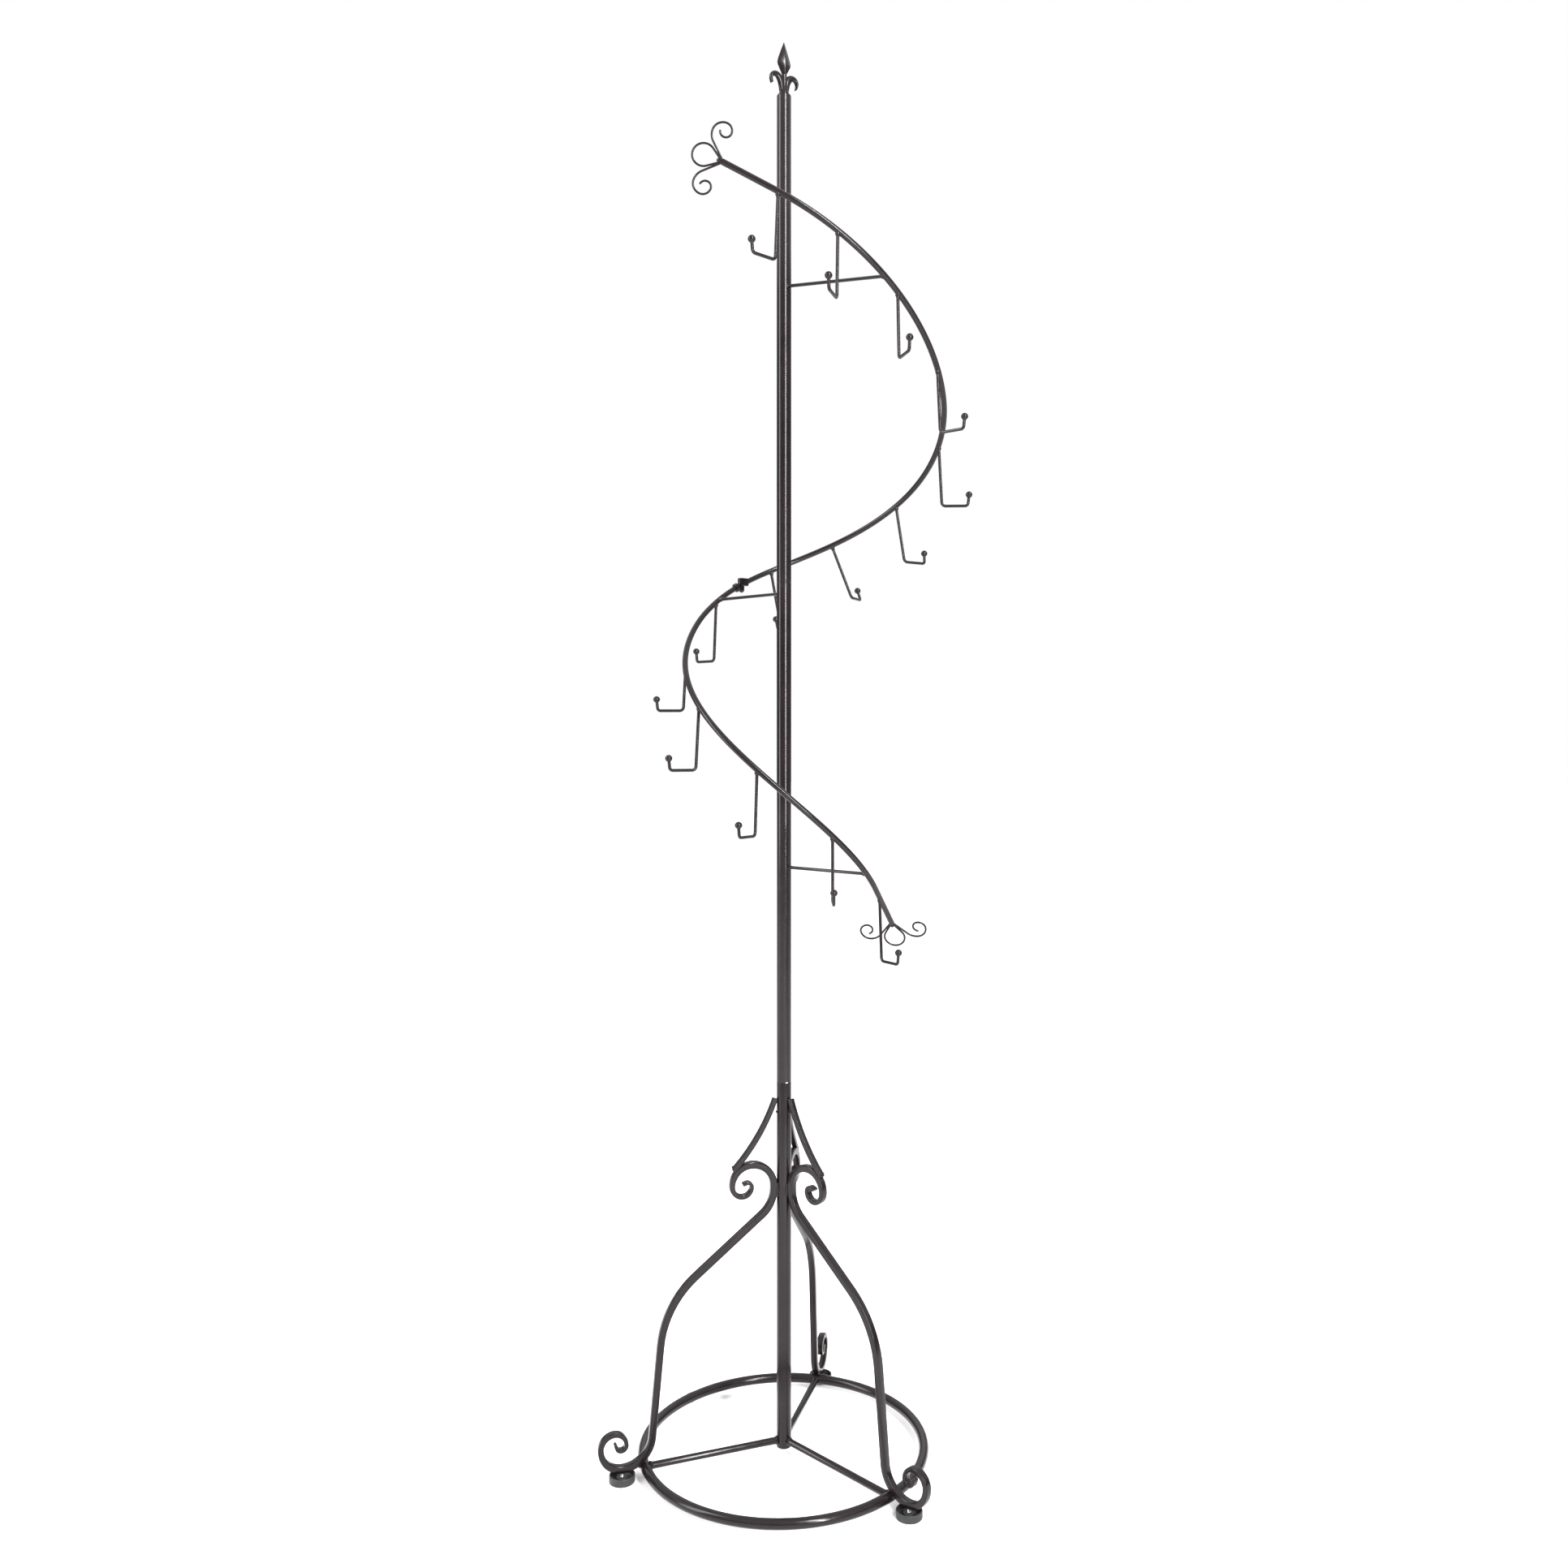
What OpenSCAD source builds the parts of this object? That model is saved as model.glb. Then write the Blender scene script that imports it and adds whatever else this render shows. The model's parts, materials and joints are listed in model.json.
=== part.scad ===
// Free-standing mug tree: a three-section pole on a scrolled tripod base, with a two-piece
// spiral rod carrying fourteen ball-tipped hooks. Millimetres, Z up, origin on the floor
// under the pole.

/* [Pole] */
// outside diameter of the pole tube
pole_d = 18; // [14:0.5:26]
// wall of the pole tube
pole_wall = 1.5; // [1:0.1:3]
// height of the pole's lower rim above the floor
pole_rim_z = 11; // [8:0.5:20]
// length of the base section
base_len = 448; // [410:1:560]
// length of the middle section
middle_len = 615; // [480:1:760]
// length of the top section
top_len = 601; // [480:1:760]
// length of each inner connector
spigot_len = 96; // [60:1:140]
// how far each connector reaches into the section above it
spigot_grip = 48; // [30:1:60]
// radial gap between a connector and the lift-off section
spigot_gap = 0.1; // [0.05:0.05:0.3]
// width of the locating notch in the lower seam
notch_w = 4; // [3:0.5:6]
// turning of the notch from the front, degrees
notch_turn = 26; // [0:1:90]

/* [Base legs] */
// square bar of the legs
leg_bar = 8.6; // [6:0.2:12]
// thickness the scroll ends are drawn down to
leg_tip = 4; // [3:0.2:6]
// turning of the first leg about the pole, degrees
leg_turn = 77.6; // [0:0.1:120]
// radius of the leg where it leaves the pole
leg_neck_r = 39; // [25:1:60]
// slope of the leg below horizontal, degrees
leg_slope = 38.7; // [25:0.1:60]
// length of the sloping stretch
leg_slope_len = 106.2; // [80:0.2:150]
// radius of the shoulder bend
leg_shoulder_r = 115; // [60:1:150]
// lean of the lower stretch from vertical, degrees
leg_lean = 5.3; // [0:0.1:12]
// length of the lower stretch
leg_drop_len = 106.3; // [70:0.1:150]
// radius of the bend that carries the foot
leg_heel_r = 36; // [28:1:50]
// radius of the toe scroll
toe_r = 25.5; // [20:0.5:36]
// radius of the top scroll
crown_r = 27.5; // [20:0.5:36]

/* [Ring, spokes and struts] */
// tube diameter of the base ring
ring_d = 12; // [8:0.5:18]
// where the ring seats on the heel, degrees below horizontal
ring_seat = 53.8; // [40:0.2:70]
// diameter of the spokes
spoke_d = 8.2; // [6:0.2:11]
// rise of the spokes from the ring to the pole
spoke_rise = 6; // [0:0.5:12]
// square bar of the struts
strut_bar = 6.6; // [5:0.2:9]
// distance of the struts' top ends below the lower seam
strut_drop = 19; // [8:1:40]
// where a strut seats on the top scroll, degrees above horizontal
strut_seat = 45; // [30:1:70]
// turning of a strut along its length, degrees
strut_bow = 24; // [4:1:40]

/* [Levelling feet] */
// diameter of a foot
pad_d = 30.5; // [24:0.5:40]
// height of a foot's rim
pad_h = 9.2; // [6:0.1:12]
// wall of a foot's rim
pad_wall = 2; // [1.5:0.1:4]
// floor of a foot
pad_floor = 2.2; // [1.5:0.1:4]
// clear height between a foot's rim and the leg
pad_lift = 1.5; // [1:0.1:6]
// thread diameter of a levelling screw
screw_d = 5; // [4:0.5:8]
// head diameter of a levelling screw
screw_head_d = 9; // [7:0.5:12]
// radial running gap round a levelling screw
screw_gap = 0.1; // [0.05:0.05:0.3]

/* [Spiral rod] */
// diameter of the spiral rod
rod_d = 6.9; // [5:0.1:10]
// distance of the upper coil from the pole's axis
reach_top = 197; // [140:1:240]
// distance of the lower coil from the pole's axis
reach_low = 121; // [90:1:160]
// turns after which the coil starts to close in
narrow_from = 0.22; // [0:0.01:0.5]
// turns after which the coil has closed in
narrow_to = 0.66; // [0.5:0.01:1.1]
// height of the coupling above the upper seam
coupling_rise = 11; // [5:0.5:30]
// drop of the spiral in each turn
spiral_pitch = 653; // [500:1:800]
// extra sag of the upper coil
spiral_sag = 57; // [0:1:90]
// turns over which the upper coil sags
sag_turns = 0.69; // [0.5:0.01:1]
// straight lead before the start, in turns
lead_in = 0.048; // [0.02:0.001:0.08]
// turns after which the lower end runs straight
straight_from = 1.186; // [1:0.001:1.3]
// turns at the lower end
spiral_end = 1.258; // [1.1:0.001:1.4]
// angle of the start about the pole, degrees
spiral_start = -90; // [-180:1:180]
// turns at the coupling
coupling_at = 0.578; // [0.5:0.001:0.7]

/* [Coupling] */
// diameter of the peg inside the eye
peg_d = 5; // [4:0.5:6]
// diameter of the peg below the eye
peg_foot_d = 7.4; // [6:0.2:9]
// length of the peg below the eye
peg_foot_len = 9; // [6:0.5:14]
// height of the eye block
eye_h = 10; // [8:0.5:14]
// width of the eye block
eye_w = 10; // [8:0.5:14]
// radial gap between the peg and the eye
eye_gap = 0.1; // [0.05:0.05:0.3]
// diameter of the collar on the lower rod
collar_d = 11.5; // [9:0.5:15]

/* [Hooks] */
// wire diameter of a hook
hook_d = 3.7; // [3:0.1:6]
// drop of a hook below the rod
hook_drop = 76; // [60:1:110]
// reach of a hook's arm from its stem
hook_reach = 33; // [24:0.5:50]
// height of the ball above the arm
hook_tip = 14.5; // [10:0.5:24]
// ball diameter
ball_d = 8.4; // [6:0.2:12]
// outward splay of a hook's stem, degrees
hook_splay = 3; // [0:0.5:8]
// turns at the first upper hook
hook_top_at = 0.001; // [0:0.001:0.05]
// turns between the first two upper hooks
hook_top_gap = 0.0474; // [0.04:0.0001:0.07]
// turns at the first lower hook
hook_low_at = 0.634; // [0.62:0.001:0.7]
// turns between the first two lower hooks
hook_low_gap = 0.105; // [0.08:0.001:0.12]
// how far the end hooks swing back from radial, degrees
hook_swing = 46; // [0:1:60]
// sideways lean of the hooks behind the pole, degrees
hook_lean = 21; // [0:1:30]

/* [Tie rods] */
// diameter of the tie rods
tie_d = 4; // [3:0.1:6]
// rise of the upper tie rod from the spiral to the pole
tie_top_rise = 40; // [-10:1:50]
// rise of the middle tie rod from the spiral to the pole
tie_mid_rise = -1.5; // [-8:0.5:2]
// rise of the lower tie rod from the spiral to the pole
tie_low_rise = 2; // [-20:0.5:20]
// turns where the upper tie rod meets the spiral
tie_top_at = 0.103; // [0.07:0.001:0.12]
// turns where the middle tie rod meets the spiral
tie_mid_at = 0.626; // [0.6:0.001:0.66]
// turns where the lower tie rod meets the spiral
tie_low_at = 1.155; // [1.1:0.001:1.18]

/* [Ornaments and finial] */
// wire diameter of the ornaments
wire_d = 2.4; // [2:0.1:4]
// radius of the teardrop loops
loop_r = 12.5; // [8:0.5:16]
// distance of a loop's centre from the rod's end
loop_out = 21.5; // [16:0.5:30]
// radius of the curls
curl_r = 8.2; // [6:0.1:12]
// turning of the top ornament about the rod, degrees
top_roll = 90; // [0:1:180]
// tilt of the top ornament below the rod's line, degrees
top_tilt = 7; // [-30:1:45]
// turning of the bottom ornament about the rod, degrees
low_roll = -10; // [-90:1:90]
// tilt of the bottom ornament below the rod's line, degrees
low_tilt = 20; // [-30:1:45]
// turning of the finial about the pole, degrees
finial_turn = 35; // [0:1:180]
// width of the spear
spear_w = 20.5; // [14:0.5:30]
// thickness of the spear
spear_t = 9; // [6:0.5:14]
// height of the spear
spear_h = 43; // [30:0.5:60]
// height of the finial's stem
stem_h = 24; // [18:0.5:34]
// reach of the leaves
leaf_reach = 20; // [14:0.5:28]

/* [Hidden] */
$fn = 48;
e = 0.01;
sink = 0.4;
paint = [0.17, 0.155, 0.16];
rubber = [0.07, 0.07, 0.07];
zinc = [0.5, 0.5, 0.5];

pole_r = pole_d/2;
seam_low_z = pole_rim_z + base_len;
seam_high_z = seam_low_z + middle_len;
pole_top_z = seam_high_z + top_len;
strut_top_z = seam_low_z - strut_drop;
bore_r = pole_r - pole_wall;

// each stretch of a bent bar is [radius, sweep] or [0, length]; a left turn is positive
leg_body = [[leg_neck_r, 90 - leg_slope], [0, leg_slope_len],
            [-leg_shoulder_r, 90 - leg_slope - leg_lean], [0, leg_drop_len],
            [leg_heel_r, 90 - leg_lean]];
toe_curl = [[toe_r, 90], [toe_r*0.65, 90], [toe_r*0.54, 90], [toe_r*0.25, 90], [toe_r*0.22, 70], [0, 4]];
crown = [[0, 4], [-crown_r, 90]];
crown_curl = [[-crown_r*0.9, 90], [-crown_r*0.48, 90], [-crown_r*0.41, 90], [-crown_r*0.19, 110], [0, 3.5]];

// [x, y, heading] at the end of a bent bar
function step(s, p) = s[0] == 0
    ? [p[0] + s[1]*cos(p[2]), p[1] + s[1]*sin(p[2]), p[2]]
    : let (g = sign(s[0]), r = abs(s[0]), h = p[2] + g*s[1])
      [p[0] - g*r*(sin(p[2]) - sin(h)), p[1] + g*r*(cos(p[2]) - cos(h)), h];
function walk(segs, p, i = 0) = i == len(segs) ? p : walk(segs, step(segs[i], p), i + 1);

contact_r = pole_r + leg_bar/2;
heel_end = walk(leg_body, [contact_r, 0, -90]);
foot_r = heel_end[0];
heel_z = pad_h + pad_lift + leg_bar/2;
contact_z = heel_z - heel_end[1];
heel_reach = leg_heel_r + leg_bar/2 + ring_d/2 - sink;
ring_r = foot_r - heel_reach*cos(ring_seat);
ring_z = heel_z + leg_heel_r - heel_reach*sin(ring_seat);
crown_x = contact_r + crown_r;
crown_z = contact_z + 4 + crown_r*0.1;
strut_r = crown_r*0.9 + leg_bar/2 + 1.2;

screw_hole = screw_d + 2*screw_gap;
head_h = 2.2;
cap_h = 1.5;

spring_low = coupling_at + 0.0092;
spring_high = coupling_at - 0.006;

// the spiral's reach, height and place after t turns
function ease(x) = let (c = min(max(x, 0), 1)) c*c*(3 - 2*c);
function reach(t) = reach_top
    + (reach_low - reach_top)*ease((t - narrow_from)/(narrow_to - narrow_from));
function sag(t) = t > 0 && t < sag_turns ? spiral_sag*pow(sin(180*t/sag_turns), 2) : 0;
function fall(t) = spiral_pitch*t + sag(t);
function coil(t) = let (a = spiral_start + 360*t)
    [reach(t)*cos(a), reach(t)*sin(a), seam_high_z + coupling_rise + fall(coupling_at) - fall(t)];
function slope(t) = (coil(t + 0.0005) - coil(t - 0.0005))/0.001;
function held(t) = min(max(t, 0), straight_from);
function rod_at(t) = coil(held(t)) + slope(held(t))*(t - held(t));
function unit(v) = v/norm(v);
function rod_dir(t) = unit(slope(held(t)));
function azimuth(v) = atan2(v[1], v[0]);
function rise(v) = asin(v[2]/norm(v));

module at_leg(k) {
  rotate([0, 0, leg_turn + 120*k]) children();
}

// stands a profile drawn in X and Y upright, so its Y becomes Z
module upright() {
  rotate([90, 0, 0]) children();
}

// marks along a bent bar: [x, y, heading, size], with the size drawn from a to b
bend_step = 10;
function run(s) = s[0] == 0 ? s[1] : abs(s[0])*s[1]*PI/180;
function total(segs, i = 0) = i == len(segs) ? 0 : run(segs[i]) + total(segs, i + 1);
function marks(segs, p, a, b, i = 0) = i == len(segs) ? [] : let (
    s = segs[i],
    n = s[0] == 0 ? 1 : ceil(s[1]/bend_step),
    c = a + (b - a)*run(s)/total(segs, i))
    concat([for (j = [1:n]) concat(step([s[0], s[1]*j/n], p), [a + (c - a)*j/n])],
      marks(segs, step(s, p), c, b, i + 1));
function left(m) = [m[0] - m[3]/2*sin(m[2]), m[1] + m[3]/2*cos(m[2])];
function right(m) = [m[0] + m[3]/2*sin(m[2]), m[1] - m[3]/2*cos(m[2])];

// outline of one bar that is bent both ways from where it starts
function outline(ahead, back) = concat(
    [for (m = ahead) left(m)], [for (i = [len(ahead) - 1:-1:0]) right(ahead[i])],
    [for (m = back) left(m)], [for (i = [len(back) - 1:-1:0]) right(back[i])]);

// closed skin over rings of points that run anticlockwise about the way ahead
module skin(rings) {
  n = len(rings) - 1;
  sides = len(rings[0]);
  walls = [for (i = [0:n - 1], j = [0:sides - 1])
           let (a = i*sides + j, b = i*sides + (j + 1) % sides) each [[a, a + sides, b], [b, a + sides, b + sides]]];
  caps = [[for (j = [0:sides - 1]) j], [for (j = [sides - 1:-1:0]) n*sides + j]];
  polyhedron([for (r = rings) each r], concat(walls, caps), convexity = 8);
}

// round wire bent in the X and Y plane, through marks whose size is its diameter
module wire(ms, sides = 10) {
  skin([for (m = ms) [for (j = [0:sides - 1]) let (a = 360*j/sides, r = m[3]/2)
    [m[0] - r*cos(a)*sin(m[2]), m[1] + r*cos(a)*cos(m[2]), r*sin(a)]]]);
}

// a round bar between two points
module strut_between(a, b, d) {
  v = b - a;
  translate(a) rotate([0, 90 - rise(v), azimuth(v)]) cylinder(d = d, h = norm(v));
}

// the spiral rod from t0 to t1 turns
module rod_sweep(t0, t1, n, sides = 14) {
  skin([for (i = [0:n]) let (t = t0 + (t1 - t0)*i/n, c = rod_at(t), v = rod_dir(t),
    m = unit(cross(v, [0, 0, 1])), k = cross(v, m))
    [for (j = [0:sides - 1]) c + rod_d/2*(cos(360*j/sides)*m + sin(360*j/sides)*k)]]);
}

module tube(z0, z1) {
  difference() {
    translate([0, 0, z0]) cylinder(d = pole_d, h = z1 - z0);
    translate([0, 0, z0 - 1]) cylinder(r = bore_r, h = z1 - z0 + 2);
  }
}

module notch(z) {
  translate([0, 0, z]) rotate([90, 0, notch_turn]) cylinder(d = notch_w, h = pole_r + 1);
}

module pole_base() {
  color(paint) tube(pole_rim_z, seam_low_z);
}

module pole_middle() {
  color(paint) difference() {
    tube(seam_low_z, seam_high_z);
    notch(seam_low_z);
  }
}

module pole_top() {
  color(paint) difference() {
    union() {
      translate([0, 0, seam_high_z]) cylinder(d = pole_d, h = pole_top_z - seam_high_z - 3);
      translate([0, 0, pole_top_z - 3 - e]) cylinder(d1 = pole_d, d2 = pole_d - 5, h = 3);
    }
    translate([0, 0, seam_high_z - 1]) cylinder(r = bore_r, h = pole_top_z - seam_high_z - 3);
  }
}

// pressed into the section below, and a sliding fit in the section above
module spigot(seam) {
  lower = spigot_len - spigot_grip;
  color(zinc) union() {
    translate([0, 0, seam - lower]) cylinder(r = bore_r, h = lower);
    translate([0, 0, seam - e]) cylinder(r = bore_r - spigot_gap, h = spigot_grip - 3);
    translate([0, 0, seam + spigot_grip - 3 - e]) cylinder(r1 = bore_r - spigot_gap, r2 = bore_r - 2, h = 3);
  }
}

module spigot_low() {
  spigot(seam_low_z);
}

module spigot_high() {
  spigot(seam_high_z);
}

// fills the notch above the seam, so the middle section can't turn
module locating_pin() {
  color(zinc) translate([0, 0, seam_low_z]) rotate([90, 0, notch_turn]) intersection() {
    translate([0, 0, bore_r - 2]) cylinder(d = notch_w - 0.6, h = pole_wall + 1.6);
    translate([-notch_w, 0.05, 0]) cube([2*notch_w, notch_w, pole_r + 2]);
  }
}

module finial_stem() {
  color(paint) translate([0, 0, pole_top_z]) rotate_extrude() polygon([[0, 0], [6.4, 0], [6.4, 2],
    [5, 7], [4.2, 13], [3.6, stem_h], [0, stem_h]]);
}

// a strap that rises beside the stem, then curls out and down to its tip
leaf_start = [3.2, 2.5, 83];
leaf_rise = [[0, 9.6], [-leaf_reach, 25]];
leaf_over = [[-leaf_reach*0.31, 138], [-leaf_reach*0.45, 30], [0, 2.4]];
leaf_marks = concat([concat(leaf_start, [5.6])], marks(leaf_rise, leaf_start, 5.6, 8.6),
    marks(leaf_over, walk(leaf_rise, leaf_start), 8.6, 2));

module finial_leaf(side) {
  color(paint) translate([0, 0, pole_top_z]) rotate([0, 0, finial_turn + 90 - 90*side]) upright()
    linear_extrude(6.4, center = true) polygon(outline(leaf_marks, []));
}

module finial_leaf_a() {
  finial_leaf(1);
}

module finial_leaf_b() {
  finial_leaf(-1);
}

module finial_spear() {
  z0 = pole_top_z + stem_h - 2;
  z1 = z0 + spear_h*0.4;
  z2 = z0 + spear_h;
  a = spear_w/2;
  b = spear_t/2;
  foot = [[3, 0, z0], [0, 2.4, z0], [-3, 0, z0], [0, -2.4, z0]];
  edge = [[a, 0, z1], [0, b, z1], [-a, 0, z1], [0, -b, z1]];
  color(paint) rotate([0, 0, finial_turn]) polyhedron(concat(foot, edge, [[0, 0, z2]]), concat(
    [[0, 1, 2], [0, 2, 3]],
    [for (i = [0:3]) let (j = (i + 1) % 4) each [[i, i + 4, j], [j, i + 4, j + 4], [i + 4, 8, j + 4]]]));
}

module base_ring() {
  color(paint) translate([0, 0, ring_z]) rotate_extrude($fn = 96) translate([ring_r, 0]) circle(d = ring_d);
}

module spoke(k) {
  foot = ring_z - 0.8;
  color(paint) at_leg(k) difference() {
    strut_between([pole_r - 1, 0, foot + spoke_rise], [ring_r - ring_d/2 + 0.8, 0, foot], spoke_d);
    translate([0, 0, foot - spoke_d]) cylinder(r = pole_r, h = 3*spoke_d);
  }
}

// the leg's outline stands with its X along the radius and its Y up
leg_down = concat([[contact_r, contact_z, -90, leg_bar]],
    marks(leg_body, [contact_r, contact_z, -90], leg_bar, leg_bar),
    marks(toe_curl, [foot_r, heel_z, 0], leg_bar, leg_tip));
crown_end = walk(crown, [contact_r, contact_z, 90]);
leg_up = concat([[contact_r, contact_z, 90, leg_bar]],
    marks(crown, [contact_r, contact_z, 90], leg_bar, leg_bar),
    marks(crown_curl, crown_end, leg_bar, leg_tip));

module leg(k) {
  color(paint) at_leg(k) difference() {
    upright() linear_extrude(leg_bar, center = true) polygon(outline(leg_down, leg_up));
    translate([foot_r, 0, pad_h]) cylinder(d = screw_hole, h = 2*leg_bar);
  }
}

// a bowed bar from the pole's side to the outside of the top scroll, drawn down at its lower end
strut_top = [pole_r + strut_bar/2 - 0.9, strut_top_z];
strut_end = [crown_x + strut_r*cos(strut_seat), crown_z + strut_r*sin(strut_seat)];
strut_chord = strut_end - strut_top;
strut_bend = norm(strut_chord)/(2*sin(strut_bow/2));
strut_start = [strut_top[0], strut_top[1], atan2(strut_chord[1], strut_chord[0]) - strut_bow/2];
strut_marks = concat([concat(strut_start, [strut_bar])],
    marks([[strut_bend, strut_bow]], strut_start, strut_bar, strut_bar),
    [concat(walk([[strut_bend, strut_bow], [0, 3]], strut_start), [strut_bar*0.45])]);

module strut(k) {
  color(paint) at_leg(k) upright() linear_extrude(strut_bar, center = true) difference() {
    polygon(outline(strut_marks, []));
    translate([0, strut_top_z - 40]) square([pole_r - 0.3, 60]);
  }
}

module foot_pad(k) {
  boss_h = pad_floor + head_h + 2*screw_gap + cap_h;
  color(rubber) at_leg(k) translate([foot_r, 0, 0]) difference() {
    union() {
      difference() {
        cylinder(d = pad_d, h = pad_h);
        translate([0, 0, pad_floor]) cylinder(d = pad_d - 2*pad_wall, h = pad_h);
      }
      cylinder(d = screw_head_d + 5, h = boss_h);
    }
    translate([0, 0, pad_floor]) cylinder(d = screw_head_d + 2*screw_gap, h = head_h + 2*screw_gap);
    translate([0, 0, pad_floor]) cylinder(d = screw_hole, h = pad_h);
  }
}

module foot_screw(k) {
  top = heel_z + leg_bar/2 - 0.4;
  z0 = pad_floor + screw_gap;
  color(zinc) at_leg(k) translate([foot_r, 0, z0]) union() {
    cylinder(d = screw_head_d, h = head_h);
    cylinder(d = screw_d, h = top - z0 - 1);
    translate([0, 0, top - z0 - 1 - e]) cylinder(d1 = screw_d, d2 = screw_d - 1.6, h = 1);
  }
}

module spiral_upper() {
  color(paint) rod_sweep(-lead_in, spring_high, 44);
}

module spiral_lower() {
  color(paint) rod_sweep(spring_low, spiral_end, 46);
}

module at_coupling() {
  c = rod_at(coupling_at);
  translate([c[0], c[1], c[2] - 1.5]) rotate([0, 0, azimuth(rod_dir(coupling_at))]) children();
}

// the block on the upper rod's end, which drops over the peg
module coupling_eye() {
  color(paint) at_coupling() difference() {
    union() {
      cylinder(d = eye_w, h = eye_h);
      translate([-eye_w*0.85, -eye_w/2, 0]) cube([eye_w*0.85, eye_w, eye_h]);
    }
    translate([0, 0, -1]) cylinder(d = peg_d + 2*eye_gap, h = eye_h + 2);
  }
}

module coupling_peg() {
  color(paint) at_coupling() union() {
    translate([0, 0, -1]) cylinder(d = peg_d, h = eye_h);
    translate([0, 0, -peg_foot_len + peg_foot_d/2]) cylinder(d = peg_foot_d, h = peg_foot_len - peg_foot_d/2 - 0.05);
    translate([0, 0, -peg_foot_len + peg_foot_d/2]) sphere(d = peg_foot_d);
  }
}

module coupling_collar() {
  c = rod_at(spring_low);
  v = rod_dir(spring_low);
  p = rod_at(coupling_at);
  z = p[2] - 1.5 - peg_foot_len*0.5;
  color(paint) union() {
    strut_between(c - v*1.2, c + v*3.4, collar_d);
    strut_between(c - v*3.2, c - v*1, rod_d);
    strut_between([p[0], p[1], z] + (peg_foot_d/2 - 0.6)*unit([v[0], v[1], 0]), [c[0], c[1], z], 4.4);
  }
}

module tie_rod(rise, t) {
  p = rod_at(t);
  a = azimuth(p);
  foot = [pole_r*cos(a), pole_r*sin(a), p[2] + rise];
  u = unit(p - foot);
  color(paint) strut_between(foot - 0.5*u, p - (rod_d/2 - 0.8)*u, tie_d);
}

module tie_top() {
  tie_rod(tie_top_rise, tie_top_at);
}

module tie_mid() {
  tie_rod(tie_mid_rise, tie_mid_at);
}

module tie_low() {
  tie_rod(tie_low_rise, tie_low_at);
}

// eight hooks on the upper rod, then six on the lower; the gaps widen a little as the coil closes in
top_hooks = 8;
low_hooks = 6;
function hook_turns(k) = k < top_hooks
    ? hook_top_at + hook_top_gap*k + 0.0064*k*k - 0.00035*k*k*k
    : let (j = k - top_hooks) hook_low_at + hook_low_gap*j + 0.0018*j*j;
function hook_back(k) = k < top_hooks
    ? hook_swing*pow((top_hooks - 1 - k)/(top_hooks - 1), 1.8)
    : 0.85*hook_swing*pow((k - top_hooks)/(low_hooks - 1), 1.6);
function hook_side(k) = abs(k - 6) < 2 ? hook_lean*pow(cos(45*(k - 6)), 2) : 0;
function hook_facing(k) = azimuth(rod_at(hook_turns(k))) - hook_back(k);

hook_elbow = 5;
hook_corner = 4;
hook_path = [[0, hook_drop/cos(hook_splay) - hook_elbow], [hook_elbow, 90 - hook_splay],
    [0, hook_reach - hook_elbow - hook_corner], [hook_corner, 84],
    [0, hook_tip - hook_corner - ball_d/2]];
hook_start = [0, 0, -90 + hook_splay];
hook_end = walk(hook_path, hook_start);
ball_from = asin(hook_d/ball_d);
hook_marks = concat([concat(hook_start, [hook_d])], marks(hook_path, hook_start, hook_d, hook_d),
    [for (i = [0:8]) let (a = ball_from + (176 - ball_from)*i/8,
        p = step([0, ball_d/2*(1 - cos(a)) + 0.01], hook_end)) concat(p, [ball_d*sin(a)])]);

module hook(k) {
  color(paint) translate(rod_at(hook_turns(k))) rotate([0, 0, hook_facing(k)])
    rotate([-hook_side(k), 0, 0]) upright() wire(hook_marks);
}

module hook_01() { hook(0); }
module hook_02() { hook(1); }
module hook_03() { hook(2); }
module hook_04() { hook(3); }
module hook_05() { hook(4); }
module hook_06() { hook(5); }
module hook_07() { hook(6); }
module hook_08() { hook(7); }
module hook_09() { hook(8); }
module hook_10() { hook(9); }
module hook_11() { hook(10); }
module hook_12() { hook(11); }
module hook_13() { hook(12); }
module hook_14() { hook(13); }

// local X runs out of the rod's end
module at_end(t, out, roll, tilt) {
  v = out*rod_dir(t);
  translate(rod_at(t)) rotate([0, tilt - rise(v), azimuth(v)]) rotate([roll, 0, 0]) children();
}

loop_open = asin(loop_r/loop_out);
loop_side = loop_out*cos(loop_open);

module teardrop_loop() {
  start = [0.8, -wire_d*0.2, -loop_open];
  color(paint) wire(concat([concat(start, [wire_d])],
    marks([[0, loop_side - 0.8], [loop_r, 180 + 2*loop_open], [0, loop_side - wire_d]], start, wire_d, wire_d)), 8);
}

module curl(side) {
  start = [0.9, wire_d*0.9, 43];
  color(paint) mirror([0, side < 0 ? 1 : 0, 0]) wire(concat([concat(start, [wire_d])],
    marks([[0, 22], [curl_r*2, 47], [curl_r*1.45, 90], [curl_r*1.1, 90], [curl_r*0.78, 90], [curl_r*0.8, 75]],
      start, wire_d, wire_d)), 8);
}

module top_loop() {
  at_end(-lead_in, -1, top_roll, top_tilt) teardrop_loop();
}

module top_curl_a() {
  at_end(-lead_in, -1, top_roll, top_tilt) curl(1);
}

module top_curl_b() {
  at_end(-lead_in, -1, top_roll, top_tilt) curl(-1);
}

module low_loop() {
  at_end(spiral_end, 1, low_roll, low_tilt) teardrop_loop();
}

module low_curl_a() {
  at_end(spiral_end, 1, low_roll, low_tilt) curl(1);
}

module low_curl_b() {
  at_end(spiral_end, 1, low_roll, low_tilt) curl(-1);
}

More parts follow.
